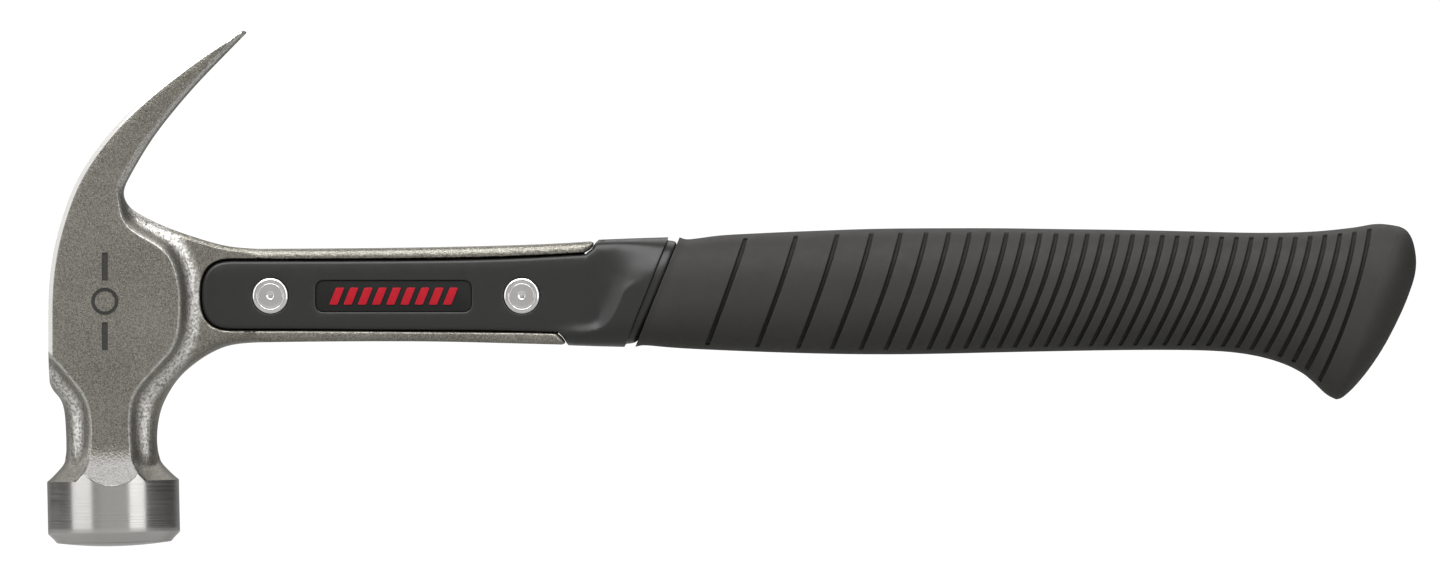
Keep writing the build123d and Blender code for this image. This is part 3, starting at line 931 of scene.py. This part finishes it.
AROUND = 144  # points round the grip
GROOVES = 34
GROOVE_START = 158.2  # X of the first groove's top end
GROOVE_PITCH = 3.68  # final pitch
GROOVE_EXTRA = 8.9  # how much wider the first pitch is
GROOVE_DECAY = 0.74
GROOVE_DEPTH = 0.9
GROOVE_ROWS = (-0.95, -0.74, -0.6, -0.48, -0.32, -0.1, 0.12, 0.34, 0.5, 0.62, 0.76, 0.95)
FRONT_ROWS = (0, 0.12, 0.35, 0.7, 1.2, 1.7, 2.3, 3.0, 4.0, 5.2)  # distances behind the front edge
REAR_ROWS = (4.8, 3.5, 2.2, 1.0, 0)  # distances before the butt
BUTT = spline(
    [(GRIP_END, 80), (322.6, 79.3), (323.6, 78.3), (324.5, 76.6), (325.2, 73.8), (325.45, 71),
     (325.1, 67.7), (324.3, 65), (323.2, 62), (321.4, 57.85), (319.4, 53.7), (317.4, 50), (315.4, 46.8),
     (313.4, 43.95), (311.4, 41.45), (309.4, 39.25), (307.8, 37.8), (306.6, 36.95), (305.4, 36.7)],
    0.25,
)
BUTT_APEX = 22.0  # how far down the butt's outline the rings close
BUTT_WIDTH = 14.3

# How far each ring leans back from top to bottom, and how far its middle bows out, by X of its top
LEAN = np.array([(GRIP_START, 11.1), (158.2, 10.5), (220, 11.3), (290, 12), (306, 12.6), (313.6, 13.2),
                 (GRIP_END, 15.6)])
BOW = np.array([(GRIP_START, 0), (158.2, 0.3), (200, 1), (240, 1.5), (300, 1.7), (313.6, 1.7), (318, 1.2),
                (GRIP_END, 0.5)])


def groove_places():
    """X of each groove's top end."""
    places = [GROOVE_START]
    for number in range(GROOVES - 1):
        places.append(places[-1] + GROOVE_PITCH + GROOVE_EXTRA * GROOVE_DECAY**number)
    return np.array(places)


def signed_power(values, power):
    """Power of the values' sizes, with their signs kept."""
    return np.sign(values) * np.abs(values) ** power


def grip_row(top, low, half, full, bow, inset=0.0):
    """One ring of points round the grip between a top and a bottom point."""
    turn = np.linspace(0, 2 * math.pi, AROUND, endpoint=False)
    up = (top - low) / np.linalg.norm(top - low)
    high, bottom = top - up * inset, low + up * inset
    c = signed_power(np.cos(turn), 2 / full)
    flat = (high + bottom) / 2 + c[:, None] * (high - bottom) / 2
    flat[:, 0] += bow * (1 - c**2)
    return stand(flat, -signed_power(np.sin(turn), 2 / full) * (half - inset))


def grip_station(place, inset=0.0):
    """Ring at the place where its top point has the given X."""
    top = np.array([place, table(GRIP_TOP, place)])
    low_x = place - table(LEAN, place)
    low = np.array([low_x, table(GRIP_LOW, low_x)])
    middle = slanted(np.array([(top + low) / 2]))[0]
    lip = 0.35 * math.exp(-(((place - GRIP_START) / 0.8) ** 2))
    half = table(HALF_WIDTHS, middle) + lip
    return grip_row(top, low, half, table(FULLNESS, middle), table(BOW, place), inset)


def butt_point(run):
    """Point of the butt's outline at a distance along it."""
    at = 0.25 * np.arange(len(BUTT))
    return np.array([np.interp(run, at, BUTT[:, k]) for k in (0, 1)])


def butt_rings():
    """Rings that close the butt, from its rim to a point."""
    length = 0.25 * (len(BUTT) - 1)
    whole = np.linalg.norm(BUTT[0] - BUTT[-1])
    rings = []
    for share in 1 - np.cos(np.radians(np.linspace(0, 90, 22)[1:-1])):
        top, low = butt_point(BUTT_APEX * share), butt_point(length - (length - BUTT_APEX) * share)
        half = BUTT_WIDTH * (np.linalg.norm(top - low) / whole) ** 0.8
        rings.append(grip_row(top, low, half, 2.3, 0.5 * (1 - share)))
    return rings + [stand(np.tile(butt_point(BUTT_APEX), (AROUND, 1)), 0)]


def grip_places(grooves):
    """X of each ring's top point: dense at both ends and across the grooves."""
    filler = np.arange(148, GRIP_END, 1.35)
    gaps = np.abs(filler[:, None] - grooves).min(1)
    across = (grooves[:, None] + GROOVE_ROWS).ravel()
    ends = [GRIP_START + row for row in FRONT_ROWS] + [GRIP_END - row for row in REAR_ROWS]
    return np.array(sorted(set(np.round([*ends, *across, *filler[gaps > 1.55]], 3))))


def grip_body():
    """Grip sleeve: grooved outside, front face, smooth bore and a closed butt."""
    grooves = groove_places()
    places = grip_places(grooves)
    rows = np.array([grip_station(place) for place in places])
    shape = 1 - smooth_step(np.abs(places[:, None] - grooves).min(1), 0.4, 0.66)
    below_top = rows[:, :1, 2] - rows[:, :, 2]
    above_low = rows[:, :, 2] - rows[:, AROUND // 2, 2][:, None]
    sunk = shape[:, None] * smooth_step(np.minimum(below_top, above_low), 1.05, 1.45)
    rows[..., 1] -= np.sign(rows[..., 1]) * GROOVE_DEPTH * sunk
    inner = np.concatenate([[GRIP_START, GRIP_START + 0.5], np.arange(146, CORE_END + 12, 6.0)])
    rings = [grip_station(place, GRIP_WALL) for place in inner[::-1]]
    rings.append(grip_station(GRIP_START + 0.06, GRIP_WALL - 0.05))
    rings += [grip_station(GRIP_START, inset) for inset in (0.7, 0.25)]
    first = len(rings) * AROUND
    vertices, faces = loft(rings + list(rows) + butt_rings(), True, False)
    made = new_object("grip", vertices, faces, 50)
    # How deep each vertex sits in a groove, kept for the painted shade in the grooves
    values = np.zeros(len(vertices))
    values[first : first + sunk.size] = sunk.ravel()
    finder = KDTree(len(vertices))
    for number, vertex in enumerate(vertices):
        finder.insert(vertex, number)
    finder.balance()
    store(made, "groove_shade", "POINT", [values[finder.find(v.co * MM)[1]] for v in made.data.vertices])
    return made


grip = grip_body()

# ------------------------------------------------------------------ rivets and badges

RIVET_CROWN = 0.5  # how far the heads stand proud of the tongue
RIVET_RIM = TONGUE + 0.02
RIVET_BORDER = 3.45  # radius where the sloping border ends
STEMS = {"left": (3.0, -4.5), "right": (2.0, -4.0)}  # radius, and how far it reaches past the middle
SIDES = {"left": -1, "right": 1}

MARK_COUNT = 9
MARK_GAP = 0.69  # gap between two marks, as a share of a mark's width
MARK_SLANT = math.radians(22)
MARK_FOOT = -PLATE[0].y  # the plate's outer face


def turned(name, profile, x, side):
    """Body turned about a line across the handle. profile holds (radius, distance from Y = 0)."""
    rings = [stand(circle((x, RIVET_HEIGHT), radius, 72), side * y) for radius, y in profile]
    return new_object(name, *loft(rings))


def rivet_profile(stem, end):
    """Head with a sloping border, a turned ring, a shallow dome and a small dimple, on a plain stem."""
    rim, top, wide = RIVET_RIM, TONGUE + RIVET_CROWN, RIVET_RADIUS
    profile = [(stem, end), (stem, rim - 1.15), (wide - 0.1, rim - 1.15)]
    profile += [(wide, rim - 1), (wide, rim - 0.2)]
    for slope in np.radians((90, 72, 54, 36, 20)):
        radius = RIVET_BORDER + (wide - RIVET_BORDER) * math.sin(slope)
        profile.append((radius, rim - 0.1 + (RIVET_CROWN - 0.02) * math.cos(slope)))
    profile += [(RIVET_BORDER, top - 0.1), (3.38, top - 0.14), (3.3, top - 0.32), (3.08, top - 0.32)]
    profile.append((3, top - 0.12))
    profile += [(r, top - 0.02 - 0.09 * (r / 3.0) ** 2) for r in (2.9, 2.6, 2.0, 1.4, 1.0)]
    return profile + [(0.85, top - 0.1), (0.6, top - 0.2), (0.3, top - 0.25), (0.02, top - 0.26)]


def prism(loop, low, high, edge, side):
    """Vertices and faces of a flat plate with the given anticlockwise outline and rounded outer edges."""
    inward = normals(loop, True)
    steps = [(0.0, low), (0.0, high - edge)]
    for angle in np.radians([30, 60, 90]):
        steps.append((edge * (1 - math.cos(angle)), high - edge * (1 - math.sin(angle))))
    return loft([stand(loop + inward * step, side * height) for step, height in steps])


def soft_corners(corners, radius):
    """Polygon with each corner cut by a small curve."""
    points = []
    corners = [np.array(corner, float) for corner in corners]
    for i, corner in enumerate(corners):
        before = corners[i - 1] - corner
        after = corners[(i + 1) % len(corners)] - corner
        a = corner + before / np.linalg.norm(before) * radius
        b = corner + after / np.linalg.norm(after) * radius
        for t in (0, 0.25, 0.5, 0.75, 1):
            points.append(a * (1 - t) ** 2 + corner * 2 * t * (1 - t) + b * t**2)
    return np.array(points)


def mark_loops():
    """Outlines of the badge's slanted bars."""
    low, high = MARKS[0].z, MARKS[1].z
    lean = math.tan(MARK_SLANT) * (high - low)
    span = MARKS[1].x - MARKS[0].x - lean
    width = span / (MARK_COUNT + (MARK_COUNT - 1) * MARK_GAP)
    loops = []
    for x in np.linspace(MARKS[0].x, MARKS[0].x + span - width, MARK_COUNT):
        corners = ((x, low), (x + width, low), (x + width + lean, high), (x + lean, high))
        loops.append(soft_corners(corners, 0.35))
    return loops


rivets, plates, marks = {}, {}, {}
plate_outline = rounded_box(PLATE_MIDDLE, PLATE_SIZE, 1.8)
for word, side in SIDES.items():
    profile = rivet_profile(*STEMS[word])
    ends = zip(("front", "rear"), RIVET_PLACES)
    rivets[word] = [turned(f"rivet_{word}_{end}", profile, x, side) for end, x in ends]
    plate = prism(plate_outline, POCKET_FLOOR + 0.01, MARK_FOOT, 0.12, side)
    plates[word] = join_parts(f"badge_plate_{word}", [plate], 40)
    bars = [prism(loop, MARK_FOOT - 0.02, MARK_FOOT + 0.33, 0.1, side) for loop in mark_loops()]
    marks[word] = join_parts(f"badge_marks_{word}", bars, 40)

# ------------------------------------------------------------------ masks on the forging

STRIP_START = 47.0  # height where the ground strip along the back begins
BEVEL_START = 88.0  # height where the painted highlight on the claws' inner edges begins


def face_masks():
    """Mark the forging's faces of bare metal and the stamped marks' floors."""
    middles = read(head.data.polygons, "center") * MM
    facing = np.abs(read(head.data.polygons, "normal")[:, 1])
    flat = middles[:, [0, 2]]
    own = to_poll(flat)
    round_wall = np.abs(np.hypot(own[:, 0], middles[:, 1]) - POLL_RADIUS) < 0.05
    turned_end = ((own[:, 1] < 19) & round_wall) | (own[:, 1] < RING_HEIGHT)
    gap, place = nearest(flat, outline)
    strip = (sections[place.astype(int)] == "back") & (gap < EDGES["back"][0] - 0.02)
    strip &= (flat[:, 1] > STRIP_START) & (facing > 0.3)
    store(head, "bare", "FACE", np.where(strip, 0.85, turned_end))
    depth = middles[:, 1] + CHEEK
    sunk = (depth > STAMP_DEPTH * 0.1) & (depth < STAMP_DEPTH * 1.1)
    stamp = np.array([(STAMP_X, DASHES[0] - DASH_LENGTH / 2), (STAMP_X, DASHES[1] + DASH_LENGTH / 2)])
    store(head, "stamp", "FACE", sunk & (nearest(flat, stamp, closed=False)[0] < 4.0))


def point_masks():
    """Mark the forging's worn edges and the claws' inner bevels, which get a painted highlight, the coves,
    which get a painted sparkle of highlights, and the sloping facets, which get painted shade.
    """
    places = read(head.data.vertices, "co") * MM
    flat, thick, height = places[:, [0, 2]], np.abs(places[:, 1]), places[:, 2]
    away = -depth_in(flat, cheek_loop()[0])
    crest = np.exp(-(((away - 0.04) / 0.27) ** 2)) * (height > 20) * (thick > CHEEK - 1.2)
    gap, place = nearest(flat, outline)
    # Real wear along the cheeks' edges (crest), and a painted highlight along the claws' inner bevels
    # (bevel)
    bevel = (gap > 0.05) & (gap < 1.0) & (sections[place.astype(int)] == "claw") & (height > BEVEL_START)
    store(head, "wear_and_highlight", "POINT", np.maximum(crest, 0.8 * bevel))
    # Painted highlight: where bright specks are painted into the coves beside the cheeks, standing in for
    # light glinting off the grainy lacquer
    cove_sheen = smooth_step(away, 1.3, 2.5) * (1 - smooth_step(away, 3.6, 6.0))
    in_cove_sheen = smooth_step(height, 19, 27) * (height < 86) * (thick > 4)
    store(head, "cove_sheen", "POINT", cove_sheen * in_cove_sheen)
    # Sloping facets by the poll, which get painted shade in the lacquer
    raised = smooth_step(face_level(flat) - CHEEK, 0.1, 0.9)
    store(head, "facet", "POINT", raised * (away < 0.3) * (height < 30))


face_masks()
point_masks()

# ------------------------------------------------------------------ materials


class Shader:
    """Small helper round one material's node tree."""

    def __init__(self, name):
        self.material = bpy.data.materials.new(name)
        self.material.use_nodes = True
        self.nodes = self.material.node_tree.nodes
        self.surface = self.nodes["Principled BSDF"]
        self.place = self.add("ShaderNodeTexCoord").outputs["Object"]

    def link(self, source, target):
        """Connect an output to an input."""
        self.material.node_tree.links.new(source, target)

    def feed(self, socket, value):
        """Set an input to a value or connect it to an output."""
        if isinstance(value, bpy.types.NodeSocket):
            self.link(value, socket)
        else:
            socket.default_value = value

    def set(self, node=None, **inputs):
        """Set inputs of a node, or of the main surface, to values or outputs of other nodes."""
        for key, value in inputs.items():
            self.feed((node or self.surface).inputs[key.replace("_", " ")], value)

    def add(self, kind, settings=None, **inputs):
        """New node with settings as attributes, and inputs as for set."""
        node = self.nodes.new(kind)
        for key, value in (settings or {}).items():
            setattr(node, key, value)
        self.set(node, **inputs)
        return node

    def noise(self, scale, detail=2.0, place=None):
        """Noise value. scale is in waves per metre."""
        node = self.add("ShaderNodeTexNoise", Vector=place or self.place, Scale=scale, Detail=detail)
        return node.outputs["Fac"]

    def stretched(self, scale):
        """Object coordinates multiplied per axis."""
        return self.add("ShaderNodeMapping", Vector=self.place, Scale=scale).outputs["Vector"]

    def span(self, value, low, high, to_low, to_high):
        """Map a value from one range to another."""
        ends = {"From_Min": low, "From_Max": high, "To_Min": to_low, "To_Max": to_high}
        return self.add("ShaderNodeMapRange", Value=value, **ends).outputs["Result"]

    def math(self, operation, a, b):
        """Result of a sum on two values."""
        node = self.add("ShaderNodeMath", {"operation": operation})
        self.feed(node.inputs[0], a)
        self.feed(node.inputs[1], b)
        return node.outputs["Value"]

    def blend(self, share, a, b):
        """Mix of two colours, given as outputs or as red, green and blue."""
        node = self.add("ShaderNodeMix", {"data_type": "RGBA"})
        for number, value in ((0, share), (6, a), (7, b)):
            self.feed(node.inputs[number], (*value, 1) if isinstance(value, tuple) else value)
        return node.outputs[2]

    def bump(self, height, distance, strength, **before):
        """Normal from a height in metres."""
        node = self.add("ShaderNodeBump", Height=height, Distance=distance, Strength=strength, **before)
        return node.outputs["Normal"]

    def mask(self, name):
        """Value stored on the mesh."""
        return self.add("ShaderNodeAttribute", {"attribute_name": name}).outputs["Fac"]


def head_material():
    """Grainy satin lacquer on forged steel, bare metal where the forging is turned or ground."""
    s = Shader("lacquered_steel")
    fine = s.noise(3300, 1.0)
    coarse = s.noise(1500)
    cloudy = s.span(s.noise(60, 3.0), 0.35, 0.65, -0.1, 0.1)
    tone = s.math("ADD", s.span(fine, 0.3, 0.7, -0.5, 0.5), s.span(coarse, 0.3, 0.7, -0.15, 0.15))
    tone = s.math("ADD", s.math("ADD", tone, 0.5), cloudy)
    lacquer = s.blend(tone, (0.135, 0.127, 0.108), (0.37, 0.355, 0.315))
    # Real wear on the cheeks' edges and a painted highlight on the claws' inner bevels, both shown as
    # brighter metal
    wear_and_highlight = s.math("MULTIPLY", s.mask("wear_and_highlight"), s.span(coarse, 0.36, 0.56, 0.4, 1.0))
    # Painted highlight: bright specks painted into the coves
    painted_cove_sparkle = s.math("MULTIPLY", s.mask("cove_sheen"), s.span(s.noise(1500, 3.0), 0.38, 0.58, 0.15, 0.9))
    lacquer = s.blend(s.math("MAXIMUM", wear_and_highlight, painted_cove_sparkle), lacquer, (0.8, 0.79, 0.77))
    # Painted shade: the sloping facets are darkened to a plain grey; the evened-out grain is their own
    # smoother finish
    lacquer = s.blend(s.math("MULTIPLY", s.mask("facet"), 0.8), lacquer, (0.165, 0.163, 0.161))
    lacquer = s.blend(s.mask("stamp"), lacquer, (0.035, 0.034, 0.032))
    s.set(Base_Color=lacquer, Metallic=s.math("MULTIPLY", s.math("SUBTRACT", 1.0, s.mask("stamp")), 0.82))
    s.set(Roughness=s.math("SUBTRACT", s.span(fine, 0.3, 0.7, 0.4, 0.28), s.math("MULTIPLY", wear_and_highlight, 0.08)))
    s.set(Normal=s.bump(fine, 0.0001, 0.75, Normal=s.bump(coarse, 0.00022, 0.5)))
    join = s.add("ShaderNodeMixShader")
    surfaces = (s.mask("bare"), s.surface.outputs[0], bare_metal(s).outputs[0])
    for socket, value in zip(join.inputs, surfaces):
        s.link(value, socket)
    s.link(join.outputs[0], s.nodes["Material Output"].inputs["Surface"])
    return s.material


def bare_metal(s):
    """Surface of turned and ground steel, with fine lines across the poll's axis."""
    lines = s.noise(1.0, 3.0, s.stretched((30, 30, 5200)))
    tone = s.blend(s.noise(110, 3.0), (0.53, 0.52, 0.50), (0.60, 0.59, 0.575))
    roughness = s.span(lines, 0.3, 0.7, 0.17, 0.24)
    ridges = s.bump(lines, 0.00002, 0.35)
    looks = {"Base_Color": tone, "Metallic": 1.0, "Roughness": roughness, "Normal": ridges}
    return s.add("ShaderNodeBsdfPrincipled", **looks)


def core_material():
    """Satin black plastic with a fine moulded grain."""
    s = Shader("core_plastic")
    s.set(Base_Color=s.blend(s.noise(45, 3.0), (0.015, 0.0148, 0.0145), (0.020, 0.0198, 0.0192)))
    s.set(Roughness=s.span(s.noise(300, 3.0), 0.3, 0.7, 0.30, 0.38))
    s.set(Normal=s.bump(s.noise(2400), 0.00003, 0.25))
    return s.material


def grip_material():
    """Matt dark grey rubber with a soft powdery grain."""
    s = Shader("grip_rubber")
    dusty = s.blend(s.noise(70, 4.0), (0.028, 0.0266, 0.0255), (0.038, 0.0364, 0.035))
    # Grooves darker: painted shade, together with cleaner rubber there that lacks the outer surface's dusty
    # bloom
    s.set(Base_Color=s.blend(s.mask("groove_shade"), dusty, (0.007, 0.0068, 0.0066)), Specular_IOR_Level=0.32)
    s.set(Roughness=s.span(s.noise(420, 3.0), 0.3, 0.7, 0.6, 0.7))
    s.set(Normal=s.bump(s.noise(2600, 3.0), 0.00005, 0.35))
    return s.material


def rivet_material():
    """Bright nickel-like metal with a slightly uneven polish."""
    s = Shader("rivet_metal")
    spots = s.noise(350)
    s.set(Base_Color=s.blend(spots, (0.74, 0.735, 0.73), (0.86, 0.855, 0.85)), Metallic=1.0)
    s.set(Roughness=s.span(spots, 0.3, 0.7, 0.1, 0.14))
    return s.material


def plate_material():
    """Black plastic with a dull, grained surface."""
    s = Shader("badge_plastic")
    fine = s.noise(2200)
    s.set(Base_Color=s.blend(s.noise(300), (0.006, 0.006, 0.006), (0.010, 0.0098, 0.0095)))
    s.set(Specular_IOR_Level=0.3)
    s.set(Roughness=s.span(fine, 0.3, 0.7, 0.42, 0.52), Normal=s.bump(fine, 0.00004, 0.4))
    return s.material


def mark_material():
    """Glossy red plastic."""
    s = Shader("mark_plastic")
    s.set(Base_Color=s.blend(s.noise(500), (0.38, 0.004, 0.014), (0.46, 0.007, 0.02)))
    s.set(Specular_IOR_Level=0.3)
    s.set(Roughness=s.span(s.noise(900), 0.3, 0.7, 0.3, 0.4))
    return s.material


def finish_piece(piece, material, node):
    """Give a piece its material and slot, tie it to the body and hide the CAD node it stands for."""
    piece.data.materials.clear()
    piece.data.materials.append(material)
    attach(piece, "root")
    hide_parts(node)


plastic, bright, badge, red = core_material(), rivet_material(), plate_material(), mark_material()
finish_piece(head, head_material(), "forged_head_and_tang")
finish_piece(left_core, plastic, "left_core_half")
finish_piece(right_core, plastic, "right_core_half")
finish_piece(grip, grip_material(), "grip_sleeve")
for word, node in (("left", "rivet_posts"), ("right", "rivet_caps")):
    for piece in rivets[word]:
        finish_piece(piece, bright, node)
    finish_piece(plates[word], badge, f"{word}_badge_plate")
    finish_piece(marks[word], red, f"{word}_badge_marks")

# ------------------------------------------------------------------ floor, light and camera

MIDDLE_X = (CAD_BOX[0].x + CAD_BOX[1].x) / 2
FLOOR_HEIGHT = CAD_BOX[0].z - 0.015
FLOOR_RADIUS = 0.6
LIGHTS_AIM = Vector((0.04, 0, 0.06))

# Brightness of the room by direction: axis, where a glow starts, where it is full, low and high strength
GLOWS = (("Y", -0.75, -0.97, 0.06, 0.49), ("Y", 0.6, 0.97, 0.0, 0.2), ("Z", -0.2, -0.75, 0.0, 0.07))


def floor():
    """Round pale table under the hammer."""
    rim = [(x, y, FLOOR_HEIGHT) for x, y in circle((MIDDLE_X, 0), FLOOR_RADIUS, 96).tolist()]
    mesh = bpy.data.meshes.new("floor")
    mesh.from_pydata(rim, [], [tuple(range(len(rim)))])
    made = bpy.data.objects.new("floor", mesh)
    bpy.context.scene.collection.objects.link(made)
    s = Shader("floor_paint")
    s.set(Base_Color=s.blend(s.noise(30, 4.0), (0.38, 0.38, 0.372), (0.41, 0.41, 0.402)), Roughness=0.7)
    mesh.materials.append(s.material)


def softbox(name, azimuth, elevation, distance, width, height, power):
    """Rectangular light aimed at the hammer. Azimuth 0 is the camera's side and 90 is the butt's."""
    a, e = math.radians(azimuth), math.radians(elevation)
    away = Vector((math.sin(a) * math.cos(e), -math.cos(a) * math.cos(e), math.sin(e)))
    light = bpy.data.objects.new(name, bpy.data.lights.new(name, "AREA"))
    light.data.shape = "RECTANGLE"
    light.data.size = width
    light.data.size_y = height
    light.data.energy = power
    light.location = LIGHTS_AIM + away * distance
    light.rotation_euler = away.to_track_quat("Z", "Y").to_euler()
    light.visible_camera = False
    bpy.context.scene.collection.objects.link(light)


def world():
    """White behind the hammer; for lighting, a dim room with a glow on three sides."""
    made = bpy.data.worlds.new("studio")
    made.use_nodes = True
    nodes, links = made.node_tree.nodes, made.node_tree.links
    room = nodes["Background"]
    direction = nodes.new("ShaderNodeSeparateXYZ")
    links.new(nodes.new("ShaderNodeTexCoord").outputs["Generated"], direction.inputs[0])
    glows = []
    for axis, *ends in GLOWS:
        glow = nodes.new("ShaderNodeMapRange")
        glow.interpolation_type = "SMOOTHSTEP"
        links.new(direction.outputs[axis], glow.inputs["Value"])
        for key, value in zip(("From Min", "From Max", "To Min", "To Max"), ends):
            glow.inputs[key].default_value = value
        glows.append(glow.outputs["Result"])
    strength = glows[0]
    for glow in glows[1:]:
        total = nodes.new("ShaderNodeMath")
        links.new(strength, total.inputs[0])
        links.new(glow, total.inputs[1])
        strength = total.outputs["Value"]
    links.new(strength, room.inputs["Strength"])
    room.inputs["Color"].default_value = (1, 0.985, 0.96, 1)
    white = nodes.new("ShaderNodeBackground")
    white.inputs["Strength"].default_value = 1.05
    white.inputs["Color"].default_value = (1, 1, 1, 1)
    mix = nodes.new("ShaderNodeMixShader")
    seen = nodes.new("ShaderNodeLightPath").outputs["Is Camera Ray"]
    for socket, value in zip(mix.inputs, (seen, room.outputs[0], white.outputs[0])):
        links.new(value, socket)
    links.new(mix.outputs[0], nodes["World Output"].inputs["Surface"])
    bpy.context.scene.world = made


def camera():
    """Long lens straight in front of the left side."""
    made = bpy.data.objects.new("camera", bpy.data.cameras.new("camera"))
    made.data.lens = 640
    made.data.sensor_width = 36
    made.location = (0.1514, -6.4, 0.0648)
    made.rotation_euler = (math.radians(90), 0, 0)
    bpy.context.scene.collection.objects.link(made)
    bpy.context.scene.camera = made


floor()
softbox("left_softbox", -57, 24, 2.0, 1.55, 2.6, 18.5)
softbox("right_softbox", 43, 14, 2.0, 1.08, 1.8, 10.5)
softbox("top_softbox", 0, 57, 1.4, 1.8, 1.1, 25)
softbox("rear_left_softbox", -125, 26, 2.0, 1.0, 1.8, 8.5)
softbox("rear_softbox", 170, 50, 2.0, 2.4, 1.6, 15)
world()
camera()
bpy.context.scene.view_settings.view_transform = "Standard"
